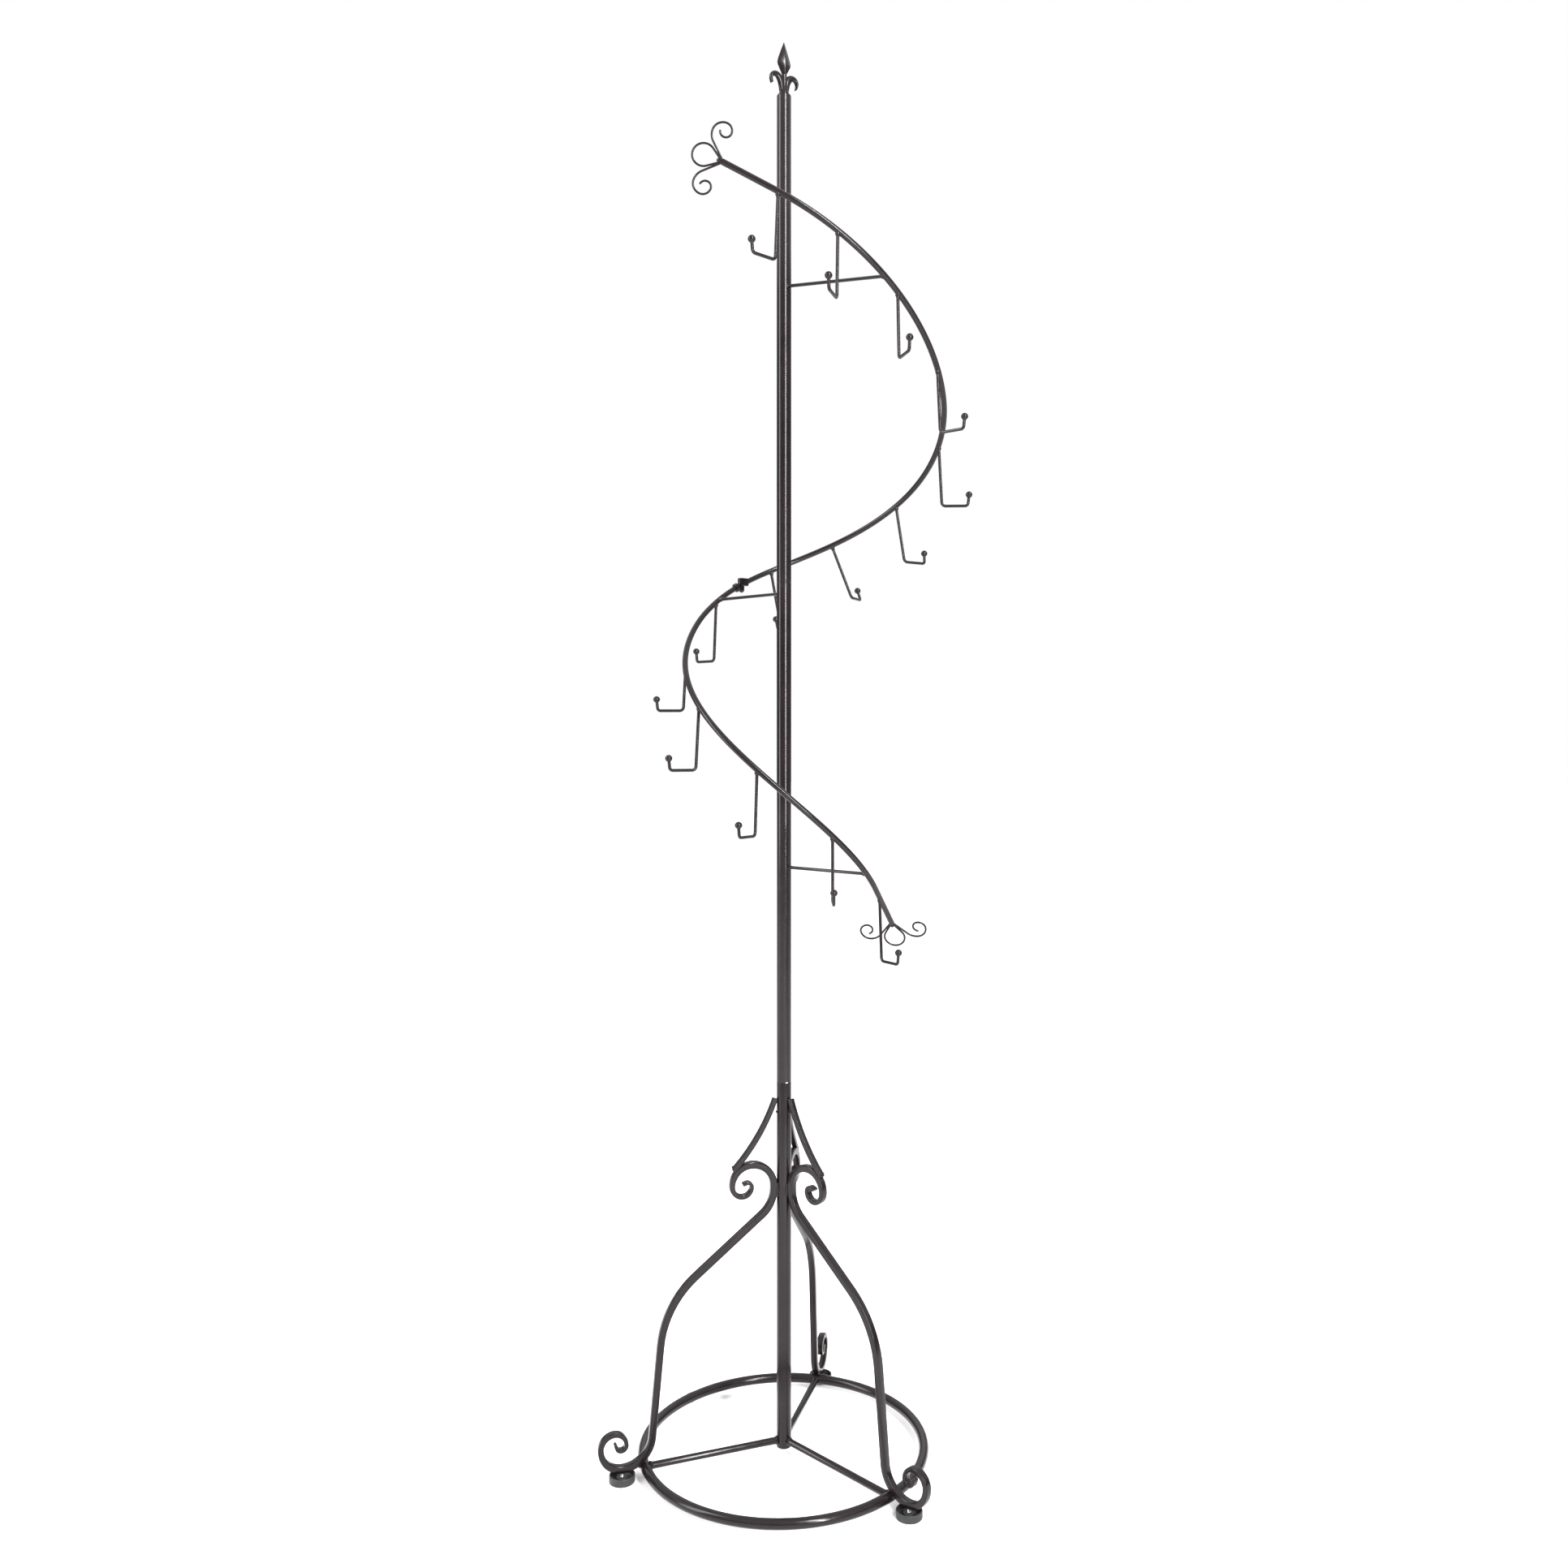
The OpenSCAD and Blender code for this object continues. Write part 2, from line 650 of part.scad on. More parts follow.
module spoke_1() { spoke(0); }
module spoke_2() { spoke(1); }
module spoke_3() { spoke(2); }
module leg_1() { leg(0); }
module leg_2() { leg(1); }
module leg_3() { leg(2); }
module strut_1() { strut(0); }
module strut_2() { strut(1); }
module strut_3() { strut(2); }
module foot_pad_1() { foot_pad(0); }
module foot_pad_2() { foot_pad(1); }
module foot_pad_3() { foot_pad(2); }
module foot_screw_1() { foot_screw(0); }
module foot_screw_2() { foot_screw(1); }
module foot_screw_3() { foot_screw(2); }

pole_base();
pole_middle();
pole_top();
spigot_low();
spigot_high();
locating_pin();
finial_stem();
finial_leaf_a();
finial_leaf_b();
finial_spear();
base_ring();
spoke_1();
spoke_2();
spoke_3();
leg_1();
leg_2();
leg_3();
strut_1();
strut_2();
strut_3();
foot_pad_1();
foot_pad_2();
foot_pad_3();
foot_screw_1();
foot_screw_2();
foot_screw_3();
spiral_upper();
spiral_lower();
coupling_eye();
coupling_peg();
coupling_collar();
tie_top();
tie_mid();
tie_low();
hook_01();
hook_02();
hook_03();
hook_04();
hook_05();
hook_06();
hook_07();
hook_08();
hook_09();
hook_10();
hook_11();
hook_12();
hook_13();
hook_14();
top_loop();
top_curl_a();
top_curl_b();
low_loop();
low_curl_a();
low_curl_b();
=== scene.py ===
"""The visual model of a free-standing mug tree.

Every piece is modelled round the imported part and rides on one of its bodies. Sizes are in
millimetres until a mesh is made, and the mesh itself is in metres. Z is up.
"""

import json
import logging
import math
from collections.abc import Iterator, Sequence
from dataclasses import dataclass, field
from enum import Enum

import bmesh
import bpy
from mathutils import Matrix, Vector


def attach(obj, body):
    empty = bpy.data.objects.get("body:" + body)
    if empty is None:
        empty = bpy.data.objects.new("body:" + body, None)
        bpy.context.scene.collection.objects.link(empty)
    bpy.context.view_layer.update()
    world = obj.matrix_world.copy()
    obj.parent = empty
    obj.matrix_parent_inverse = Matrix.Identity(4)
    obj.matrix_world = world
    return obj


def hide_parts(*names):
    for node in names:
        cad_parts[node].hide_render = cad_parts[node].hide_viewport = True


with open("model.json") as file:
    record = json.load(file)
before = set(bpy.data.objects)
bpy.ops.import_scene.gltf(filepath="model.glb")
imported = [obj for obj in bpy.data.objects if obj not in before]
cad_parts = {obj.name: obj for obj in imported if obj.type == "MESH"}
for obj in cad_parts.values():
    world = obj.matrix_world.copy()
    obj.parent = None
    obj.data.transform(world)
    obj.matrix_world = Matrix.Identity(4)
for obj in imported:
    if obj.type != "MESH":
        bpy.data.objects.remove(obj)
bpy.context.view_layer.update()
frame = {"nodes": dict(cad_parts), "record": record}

MM = 0.001
SMOOTH_ANGLE = math.radians(38)
AXIS_GAP = 0.2  # radius of the smallest disc, where a turned piece closes on its axis
LOG = logging.getLogger("mug_tree")
PLAIN_NODES = ("spigot_low", "spigot_high", "locating_pin")
BODY_OF = {
    node: body
    for body, nodes in frame["record"]["behaviour"]["bodies"].items()
    for node in nodes
}
SLOT_OF = {part["node"]: part["material_slot"] for part in frame["record"]["subparts"]}


# ---------------------------------------------------------------- plane paths


@dataclass(frozen=True)
class Mark:
    """One place along a bent bar, in the plane it is bent in.

    Attributes:
        x: Distance out, in millimetres.
        y: Distance up, in millimetres.
        heading: Way ahead, in degrees above the X axis.
        size: Thickness of the bar there, in millimetres.
    """

    x: float
    y: float
    heading: float
    size: float

    def turned_back(self) -> "Mark":
        """Returns the same mark, heading the other way."""
        return Mark(self.x, self.y, self.heading + 180, self.size)


@dataclass(frozen=True)
class Run:
    """One stretch of a bent bar: straight where radius is 0, else an arc.

    Attributes:
        radius: Bend radius in millimetres; a left turn is positive.
        reach: Length in millimetres of a straight, or degrees turned by an arc.
    """

    radius: float
    reach: float

    def length(self) -> float:
        """Returns the length of the stretch in millimetres.

        Returns:
            The length.
        """
        if self.radius == 0:
            return self.reach
        return abs(self.radius) * math.radians(self.reach)

    def after(self, start: Mark, share: float, size: float) -> Mark:
        """Returns the mark a share of the way along this stretch.

        Args:
            start: Where the stretch begins.
            share: How much of the stretch is walked, from 0 to 1.
            size: Thickness at the new mark.

        Returns:
            The new mark.
        """
        h0 = math.radians(start.heading)
        if self.radius == 0:
            step = self.reach * share
            return Mark(start.x + step * math.cos(h0), start.y + step * math.sin(h0), start.heading, size)
        sign = math.copysign(1, self.radius)
        h1 = h0 + sign * math.radians(self.reach * share)
        r = self.radius
        return Mark(
            start.x - r * (math.sin(h0) - math.sin(h1)),
            start.y + r * (math.cos(h0) - math.cos(h1)),
            math.degrees(h1),
            size,
        )


def trace(start: Mark, runs: Sequence[Run], end_size: float, bend_step: float = 5.0) -> list[Mark]:
    """Walks a bent bar whose size is drawn evenly from the start's to end_size.

    Args:
        start: The first mark.
        runs: The stretches, in order.
        end_size: Thickness at the far end, in millimetres.
        bend_step: Most degrees between marks round a bend.

    Returns:
        The marks, the start included.
    """
    whole = sum(run.length() for run in runs)
    marks = [start]
    here, done = start, 0.0
    for run in runs:
        count = 1 if run.radius == 0 else math.ceil(run.reach / bend_step)
        for i in range(1, count + 1):
            share = i / count
            along = (done + run.length() * share) / whole
            marks.append(run.after(here, share, start.size + (end_size - start.size) * along))
        here = marks[-1]
        done += run.length()
    return marks


# ---------------------------------------------------------------- modelling bench


class Section(Enum):
    """Cross-sections that a bar is drawn with. Each is one unit across its half-width."""

    ROUND = "round"
    SQUARE = "square"
    DIAMOND = "diamond"

    def draw(self, filled: bool, sides: int) -> None:
        """Adds the section at the origin as the active object.

        Args:
            filled: Whether it is a face, and not only its outline.
            sides: Number of points round a round section.
        """
        if self is Section.ROUND:
            fill = "NGON" if filled else "NOTHING"
            bpy.ops.mesh.primitive_circle_add(vertices=sides, radius=1, fill_type=fill)
            return
        turn = math.radians(45) if self is Section.DIAMOND else 0
        size = math.sqrt(2) if self is Section.DIAMOND else 2
        bpy.ops.mesh.primitive_plane_add(size=size, rotation=(0, 0, turn))
        bpy.ops.object.transform_apply(location=False, rotation=True, scale=False)
        corner = 0.12 if self is Section.DIAMOND else 0.3
        with Editing(bpy.context.object):
            bpy.ops.mesh.select_all(action="SELECT")
            bpy.ops.mesh.bevel(offset=corner, segments=3, affect="VERTICES", profile=0.5)


class Editing:
    """Puts one object alone in edit mode, and takes it out again."""

    def __init__(self, obj: bpy.types.Object) -> None:
        """Keeps the object to edit."""
        self.obj = obj

    def __enter__(self) -> bpy.types.Object:
        """Enters edit mode and returns the object.

        Returns:
            The object being edited.
        """
        pick(self.obj)
        bpy.ops.object.mode_set(mode="EDIT")
        return self.obj

    def __exit__(self, *_: object) -> None:
        """Leaves edit mode."""
        bpy.ops.object.mode_set(mode="OBJECT")


def pick(*objs: bpy.types.Object) -> None:
    """Selects these objects only, and makes the first one active.

    Args:
        objs: The objects.
    """
    bpy.ops.object.select_all(action="DESELECT")
    for obj in objs:
        obj.select_set(True)
    bpy.context.view_layer.objects.active = objs[0]


def move_selected(obj: bpy.types.Object, matrix: Matrix) -> None:
    """Moves the points selected in edit mode.

    Args:
        obj: The object in edit mode.
        matrix: The move, in metres.
    """
    mesh = bmesh.from_edit_mesh(obj.data)
    chosen = [v for v in mesh.verts if v.select]
    bmesh.ops.transform(mesh, matrix=matrix, verts=chosen)
    bmesh.update_edit_mesh(obj.data)


def sweep(
    name: str, section: Section, stations: Sequence[Matrix], sides: int = 20, closed: bool = False
) -> bpy.types.Object:
    """Extrudes a cross-section from station to station.

    Args:
        name: Name of the piece.
        section: The cross-section.
        stations: Where the section stands each time, its own Z being the way ahead.
        sides: Number of points round a round section.
        closed: Whether the last station is the first again, as on a tube's wall.

    Returns:
        The new object, at the origin.
    """
    bpy.ops.object.select_all(action="DESELECT")
    section.draw(not closed, sides)
    obj = bpy.context.object
    obj.name = obj.data.name = name
    with Editing(obj):
        bpy.ops.mesh.select_all(action="SELECT")
        move_selected(obj, stations[0])
        for before, after in zip(stations, stations[1:]):
            if closed:
                bpy.ops.mesh.extrude_edges_move()
            else:
                bpy.ops.mesh.extrude_region_move()
            move_selected(obj, after @ before.inverted())
        bpy.ops.mesh.select_all(action="SELECT")
        bpy.ops.mesh.remove_doubles(threshold=1e-6)
        bpy.ops.mesh.normals_make_consistent(inside=False)
    smooth(obj)
    return obj


def smooth(obj: bpy.types.Object) -> None:
    """Shades an object smooth, except across its sharp edges."""
    pick(obj)
    bpy.ops.object.shade_smooth_by_angle(angle=SMOOTH_ANGLE)


def apply_modifier(obj: bpy.types.Object, kind: str, **settings: object) -> None:
    """Adds a modifier to an object and applies it.

    Args:
        obj: The object.
        kind: The modifier's type.
        settings: Its settings.
    """
    pick(obj)
    modifier = obj.modifiers.new(kind.lower(), kind)
    for key, value in settings.items():
        setattr(modifier, key, value)
    bpy.ops.object.modifier_apply(modifier=modifier.name)


def cut(obj: bpy.types.Object, tool: bpy.types.Object, operation: str = "DIFFERENCE") -> None:
    """Cuts an object with another, or joins the two, and removes the other.

    Args:
        obj: The object to keep.
        tool: The object to use and remove.
        operation: The boolean operation.
    """
    apply_modifier(obj, "BOOLEAN", operation=operation, object=tool, solver="EXACT")
    bpy.data.objects.remove(tool)


def copy_of(obj: bpy.types.Object, name: str, place: Matrix) -> bpy.types.Object:
    """Copies a piece with its own mesh and puts the copy in place.

    Args:
        obj: The piece to copy.
        name: Name of the copy.
        place: Where the copy goes, in metres.

    Returns:
        The copy, at the origin.
    """
    pick(obj)
    bpy.ops.object.duplicate(linked=False)
    copy = bpy.context.object
    copy.name = copy.data.name = name
    put(copy, place)
    return copy


def put(obj: bpy.types.Object, place: Matrix) -> bpy.types.Object:
    """Moves an object and keeps the move in its mesh.

    Args:
        obj: The object.
        place: The move, in metres.

    Returns:
        The same object.
    """
    pick(obj)
    obj.matrix_world = place @ obj.matrix_world
    bpy.context.view_layer.update()
    bpy.ops.object.transform_apply(location=True, rotation=True, scale=True)
    return obj


def merge(main: bpy.types.Object, *others: bpy.types.Object) -> bpy.types.Object:
    """Joins other objects into the first and returns it.

    Args:
        main: The object that the others join.
        others: The other objects.

    Returns:
        The first object.
    """
    pick(main, *others)
    bpy.ops.object.join()
    return main


def move(x: float = 0, y: float = 0, z: float = 0) -> Matrix:
    """Returns a shift given in millimetres."""
    return Matrix.Translation(Vector((x, y, z)) * MM)


def turn(degrees: float, axis: str = "Z") -> Matrix:
    """Returns a turning about an axis through the origin."""
    return Matrix.Rotation(math.radians(degrees), 4, axis)


def station(point: Vector, across: Vector, ahead: Vector, wide: float, deep: float) -> Matrix:
    """Returns the place of a cross-section.

    Args:
        point: Its middle, in millimetres.
        across: The way its own X points.
        ahead: The way its own Z points.
        wide: Half-size along X, in millimetres.
        deep: Half-size along Y, in millimetres.

    Returns:
        The place in metres.
    """
    z_axis = ahead.normalized()
    x_axis = across.normalized()
    y_axis = z_axis.cross(x_axis)
    columns = (x_axis * wide * MM, y_axis * deep * MM, z_axis, point * MM)
    matrix = Matrix.Identity(4)
    for i, column in enumerate(columns):
        for row in range(3):
            matrix[row][i] = column[row]
    return matrix


def flat_stations(marks: Sequence[Mark], depth: float | None = None) -> list[Matrix]:
    """Stands the marks of a path in the XZ plane.

    Args:
        marks: The marks.
        depth: Size across the plane in millimetres, or None to use each mark's own.

    Returns:
        The places of the cross-sections.
    """
    places = []
    for m in marks:
        h = math.radians(m.heading)
        ahead = Vector((math.cos(h), 0, math.sin(h)))
        left = Vector((-math.sin(h), 0, math.cos(h)))
        deep = (m.size if depth is None else depth) / 2
        places.append(station(Vector((m.x, 0, m.y)), left, ahead, m.size / 2, deep))
    return places


def turned(profile: Sequence[tuple[float, float]]) -> list[Matrix]:
    """Stacks round sections up the Z axis.

    Args:
        profile: Height and radius of each, in millimetres.

    Returns:
        The places of the cross-sections.
    """
    up, side = Vector((0, 0, 1)), Vector((1, 0, 0))
    return [station(Vector((0, 0, z)), side, up, r, r) for z, r in profile]


def between(a: Vector, b: Vector, profile: Sequence[tuple[float, float]]) -> list[Matrix]:
    """Places round sections along the line from a to b.

    Args:
        a: Start, in millimetres.
        b: End, in millimetres.
        profile: Distance from the start and radius of each; a distance below 0 counts
            back from the end.

    Returns:
        The places of the cross-sections.
    """
    ahead = (b - a).normalized()
    side = ahead.cross(Vector((0, 0, 1)))
    if side.length < 0.01:
        side = Vector((1, 0, 0))
    length = (b - a).length
    places = []
    for along, r in profile:
        along = along if along >= 0 else length + along
        places.append(station(a + ahead * along, side, ahead, r, r))
    return places


def rounded(radius: float, start: float = 0, end: float = 90, steps: int = 4) -> list[tuple[float, float]]:
    """Returns points of an arc about the origin.

    Args:
        radius: Radius in millimetres.
        start: First angle in degrees.
        end: Last angle in degrees.
        steps: Number of steps.

    Returns:
        The points.
    """
    angles = [math.radians(start + (end - start) * i / steps) for i in range(steps + 1)]
    return [(radius * math.cos(a), radius * math.sin(a)) for a in angles]


def weld_bead(a: Vector, b: Vector, radius: float, seed: int) -> bpy.types.Object:
    """Lays a short lumpy bead of weld from a to b.

    Args:
        a: Start, in millimetres.
        b: End, in millimetres.
        radius: Half-thickness, in millimetres.
        seed: Picks the lumps.

    Returns:
        The bead.
    """
    length = (b - a).length
    count = max(6, round(length / (radius * 0.45)))
    profile = [(0.0, radius * 0.25)]
    for i in range(1, count):
        share = i / count
        swell = math.sqrt(1 - (2 * share - 1) ** 2) ** 0.6
        ripple = 1 + 0.10 * math.cos(share * count * 2.1 + seed)
        profile.append((length * share, radius * swell * ripple))
    profile.append((length, radius * 0.25))
    return sweep("bead", Section.ROUND, between(a, b, profile), sides=12)


# ---------------------------------------------------------------- finishes


class Nodes:
    """Builds a material's node tree, one named node at a time."""

    def __init__(self, name: str) -> None:
        """Starts an empty material whose pattern follows the object.

        Args:
            name: Name of the material.
        """
        self.material = bpy.data.materials.new(name)
        self.material.use_nodes = True
        self.tree = self.material.node_tree
        self.shader = self.tree.nodes["Principled BSDF"]
        self.coords = self.tree.nodes.new("ShaderNodeTexCoord").outputs["Object"]

    def noise(self, scale: float, detail: float = 3, roughness: float = 0.5) -> bpy.types.NodeSocket:
        """Adds a noise and returns its value.

        Args:
            scale: Lumps in each metre.
            detail: Octaves.
            roughness: How much the fine octaves count.

        Returns:
            The value's socket.
        """
        node = self.tree.nodes.new("ShaderNodeTexNoise")
        node.inputs["Scale"].default_value = scale
        node.inputs["Detail"].default_value = detail
        node.inputs["Roughness"].default_value = roughness
        self.tree.links.new(self.coords, node.inputs["Vector"])
        return node.outputs["Fac"]

    def blend(
        self, value: bpy.types.NodeSocket, low: Sequence[float], high: Sequence[float], span: Sequence[float]
    ) -> None:
        """Colours the shader from one colour to another.

        Args:
            value: What picks the colour.
            low: Colour at the low end.
            high: Colour at the high end.
            span: The values where the two colours are reached.
        """
        ramp = self.tree.nodes.new("ShaderNodeValToRGB")
        for element, colour, at in zip(ramp.color_ramp.elements, (low, high), span):
            element.position = at
            element.color = (*colour, 1)
        self.tree.links.new(value, ramp.inputs["Fac"])
        self.tree.links.new(ramp.outputs["Color"], self.shader.inputs["Base Color"])

    def vary(self, value: bpy.types.NodeSocket, socket: str, low: float, high: float) -> None:
        """Varies one of the shader's numbers.

        Args:
            value: What varies it, about 0.3 to 0.7.
            socket: Name of the shader's socket.
            low: Number at 0.3.
            high: Number at 0.7.
        """
        node = self.tree.nodes.new("ShaderNodeMapRange")
        node.inputs["From Min"].default_value = 0.3
        node.inputs["From Max"].default_value = 0.7
        node.inputs["To Min"].default_value = low
        node.inputs["To Max"].default_value = high
        self.tree.links.new(value, node.inputs["Value"])
        self.tree.links.new(node.outputs["Result"], self.shader.inputs[socket])

    def relief(self, heights: Sequence[tuple[bpy.types.NodeSocket, float]]) -> None:
        """Adds bumps, one over another.

        Args:
            heights: Each pattern with its depth in millimetres.
        """
        below = None
        for value, depth in heights:
            bump = self.tree.nodes.new("ShaderNodeBump")
            bump.inputs["Strength"].default_value = 1
            bump.inputs["Distance"].default_value = depth * MM
            self.tree.links.new(value, bump.inputs["Height"])
            if below is not None:
                self.tree.links.new(below, bump.inputs["Normal"])
            below = bump.outputs["Normal"]
        self.tree.links.new(below, self.shader.inputs["Normal"])

    def settings(self, **values: float) -> None:
        """Sets the shader's even numbers by name, with _ for a space."""
        for key, value in values.items():
            self.shader.inputs[key.replace("_", " ")].default_value = value


@dataclass(frozen=True)
class GlossEnamel:
    """Dark gloss enamel, brushed thin enough to show a faint orange peel.

    Attributes:
        deep: Colour in the body of the coat.
        thin: Colour where the coat is thin.
        peel: Depth of the orange peel, in millimetres.
    """

    deep: tuple[float, float, float] = (0.0062, 0.0042, 0.0047)
    thin: tuple[float, float, float] = (0.0110, 0.0075, 0.0082)
    peel: float = 0.003

    def material(self) -> bpy.types.Material:
        """Returns the enamel.

        Returns:
            The material.
        """
        nodes = Nodes("dark_gloss_enamel")
        clouds = nodes.noise(34, 4, 0.6)
        nodes.blend(clouds, self.deep, self.thin, (0.34, 0.72))
        nodes.vary(nodes.noise(90, 3), "Roughness", 0.15, 0.23)
        nodes.relief([(nodes.noise(620, 2, 0.4), self.peel), (nodes.noise(70, 3, 0.5), 0.012)])
        nodes.settings(Metallic=0, IOR=1.34)
        return nodes.material


@dataclass(frozen=True)
class ZincPlate:
    """Bright zinc plate with a faint mottle."""

    dark: tuple[float, float, float] = (0.36, 0.365, 0.37)
    light: tuple[float, float, float] = (0.56, 0.56, 0.55)

    def material(self) -> bpy.types.Material:
        """Returns the plate.

        Returns:
            The material.
        """
        nodes = Nodes("zinc_plate")
        nodes.blend(nodes.noise(160, 5, 0.7), self.dark, self.light, (0.3, 0.7))
        nodes.vary(nodes.noise(420, 3), "Roughness", 0.24, 0.44)
        nodes.relief([(nodes.noise(900, 3), 0.02)])
        nodes.settings(Metallic=1)
        return nodes.material


@dataclass(frozen=True)
class MouldedRubber:
    """Hard black rubber with a moulded grain."""

    dark: tuple[float, float, float] = (0.012, 0.012, 0.0125)
    light: tuple[float, float, float] = (0.026, 0.025, 0.026)

    def material(self) -> bpy.types.Material:
        """Returns the rubber.

        Returns:
            The material.
        """
        nodes = Nodes("moulded_rubber")
        nodes.blend(nodes.noise(110, 4, 0.6), self.dark, self.light, (0.3, 0.7))
        nodes.vary(nodes.noise(240, 3), "Roughness", 0.42, 0.6)
        nodes.relief([(nodes.noise(1500, 2), 0.05)])
        nodes.settings(Metallic=0, IOR=1.45)
        return nodes.material


class Finisher:
    """Gives pieces their finish, and reports them."""

    def __init__(self) -> None:
        """Makes one material for each of the record's slots."""
        self.by_slot = {
            "painted_steel": GlossEnamel().material(),
            "zinc_steel": ZincPlate().material(),
            "rubber": MouldedRubber().material(),
        }

    def dress(self, piece: bpy.types.Object, node: str) -> None:
        """Gives a piece its node's finish, body and slot.

        Args:
            piece: The finished piece.
            node: The CAD node that it stands for.
        """
        piece.data.materials.clear()
        piece.data.materials.append(self.by_slot[SLOT_OF[node]])
        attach(piece, BODY_OF[node])
        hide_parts(node)
        LOG.info("%s: %d faces, on %s", piece.name, len(piece.data.polygons), BODY_OF[node])

    def coat(self, node: str) -> None:
        """Finishes a CAD node that is shown as it is.

        Args:
            node: The node.
        """
        obj = frame["nodes"][node]
        obj.data.materials.clear()
        obj.data.materials.append(self.by_slot[SLOT_OF[node]])
        LOG.info("%s: kept, on %s", node, BODY_OF[node])


class Assembly:
    """A group of pieces that are modelled and dressed together."""

    def pieces(self) -> Iterator[tuple[bpy.types.Object, str]]:
        """Yields each finished piece with the CAD node that it stands for."""
        raise NotImplementedError

    def build(self, finisher: Finisher) -> None:
        """Models and dresses every piece.

        Args:
            finisher: Gives the finishes.
        """
        for piece, node in self.pieces():
            finisher.dress(piece, node)


# ---------------------------------------------------------------- the pole


@dataclass
class Pole(Assembly):
    """Three tube sections that lift apart, with a spear finial on top."""

    radius: float = 9.0
    wall: float = 1.5
    rim_z: float = 11.0
    base_len: float = 448.0
    middle_len: float = 615.0
    top_len: float = 601.0
    lip: float = 0.5
    shoulder: float = 2.6
    cap: float = 4.0
    notch_w: float = 4.0
    notch_turn: float = 26.0
    sides: int = 72

    @property
    def seam_low(self) -> float:
        """Height of the seam between the base and middle sections."""
        return self.rim_z + self.base_len

    @property
    def seam_high(self) -> float:
        """Height of the seam between the middle and top sections."""
        return self.seam_low + self.middle_len

    @property
    def top(self) -> float:
        """Height of the pole's closed top."""
        return self.seam_high + self.top_len

    def low_lip(self, z: float) -> list[tuple[float, float]]:
        """Returns the eased outer edge of a tube's lower end at height z."""
        return [(z + self.lip - x, self.radius - self.lip + y) for x, y in rounded(self.lip)]

    def tube(self, name: str, z0: float, z1: float) -> bpy.types.Object:
        """Makes an open tube with eased lips.

        Args:
            name: Name of the piece.
            z0: Height of its lower end.
            z1: Height of its upper end.

        Returns:
            The tube.
        """
        bore = self.radius - self.wall
        high = [(z1 - self.lip + y, self.radius - self.lip + x) for x, y in rounded(self.lip)]
        profile = [(z0, bore), *self.low_lip(z0), *high, (z1, bore), (z0, bore)]
        return sweep(name, Section.ROUND, turned(profile), self.sides, closed=True)

    def notch(self, z: float) -> bpy.types.Object:
        """Makes the cutter of the locating notch at height z.

        Args:
            z: Height of the seam.

        Returns:
            The cutter.
        """
        bpy.ops.object.select_all(action="DESELECT")
        bpy.ops.mesh.primitive_cylinder_add(
            vertices=32,
            radius=self.notch_w / 2 * MM,
            depth=2 * self.wall * MM,
            location=(0, (self.wall / 2 - self.radius) * MM, z * MM),
            rotation=(math.radians(90), 0, 0),
        )
        return put(bpy.context.object, turn(self.notch_turn))

    def closed_section(self, name: str) -> bpy.types.Object:
        """Makes the top section, with its rounded shoulder.

        Args:
            name: Name of the piece.

        Returns:
            The section.
        """
        bore, z0, z1 = self.radius - self.wall, self.seam_high, self.top
        inset = self.radius - self.shoulder
        high = [(z1 - self.shoulder + y, inset + x) for x, y in rounded(self.shoulder, steps=6)]
        roof = z1 - self.cap
        profile = [(roof, AXIS_GAP), (roof, bore), (z0, bore), *self.low_lip(z0), *high, (z1, AXIS_GAP)]
        return sweep(name, Section.ROUND, turned(profile), self.sides)

    def pieces(self) -> Iterator[tuple[bpy.types.Object, str]]:
        """Yields the three sections.

        Returns:
            Each piece in turn, with its CAD node.
        """
        yield self.tube("pole_tube_base", self.rim_z, self.seam_low), "pole_base"
        middle = self.tube("pole_tube_middle", self.seam_low, self.seam_high)
        cut(middle, self.notch(self.seam_low))
        smooth(middle)
        yield middle, "pole_middle"
        yield self.closed_section("pole_tube_top"), "pole_top"


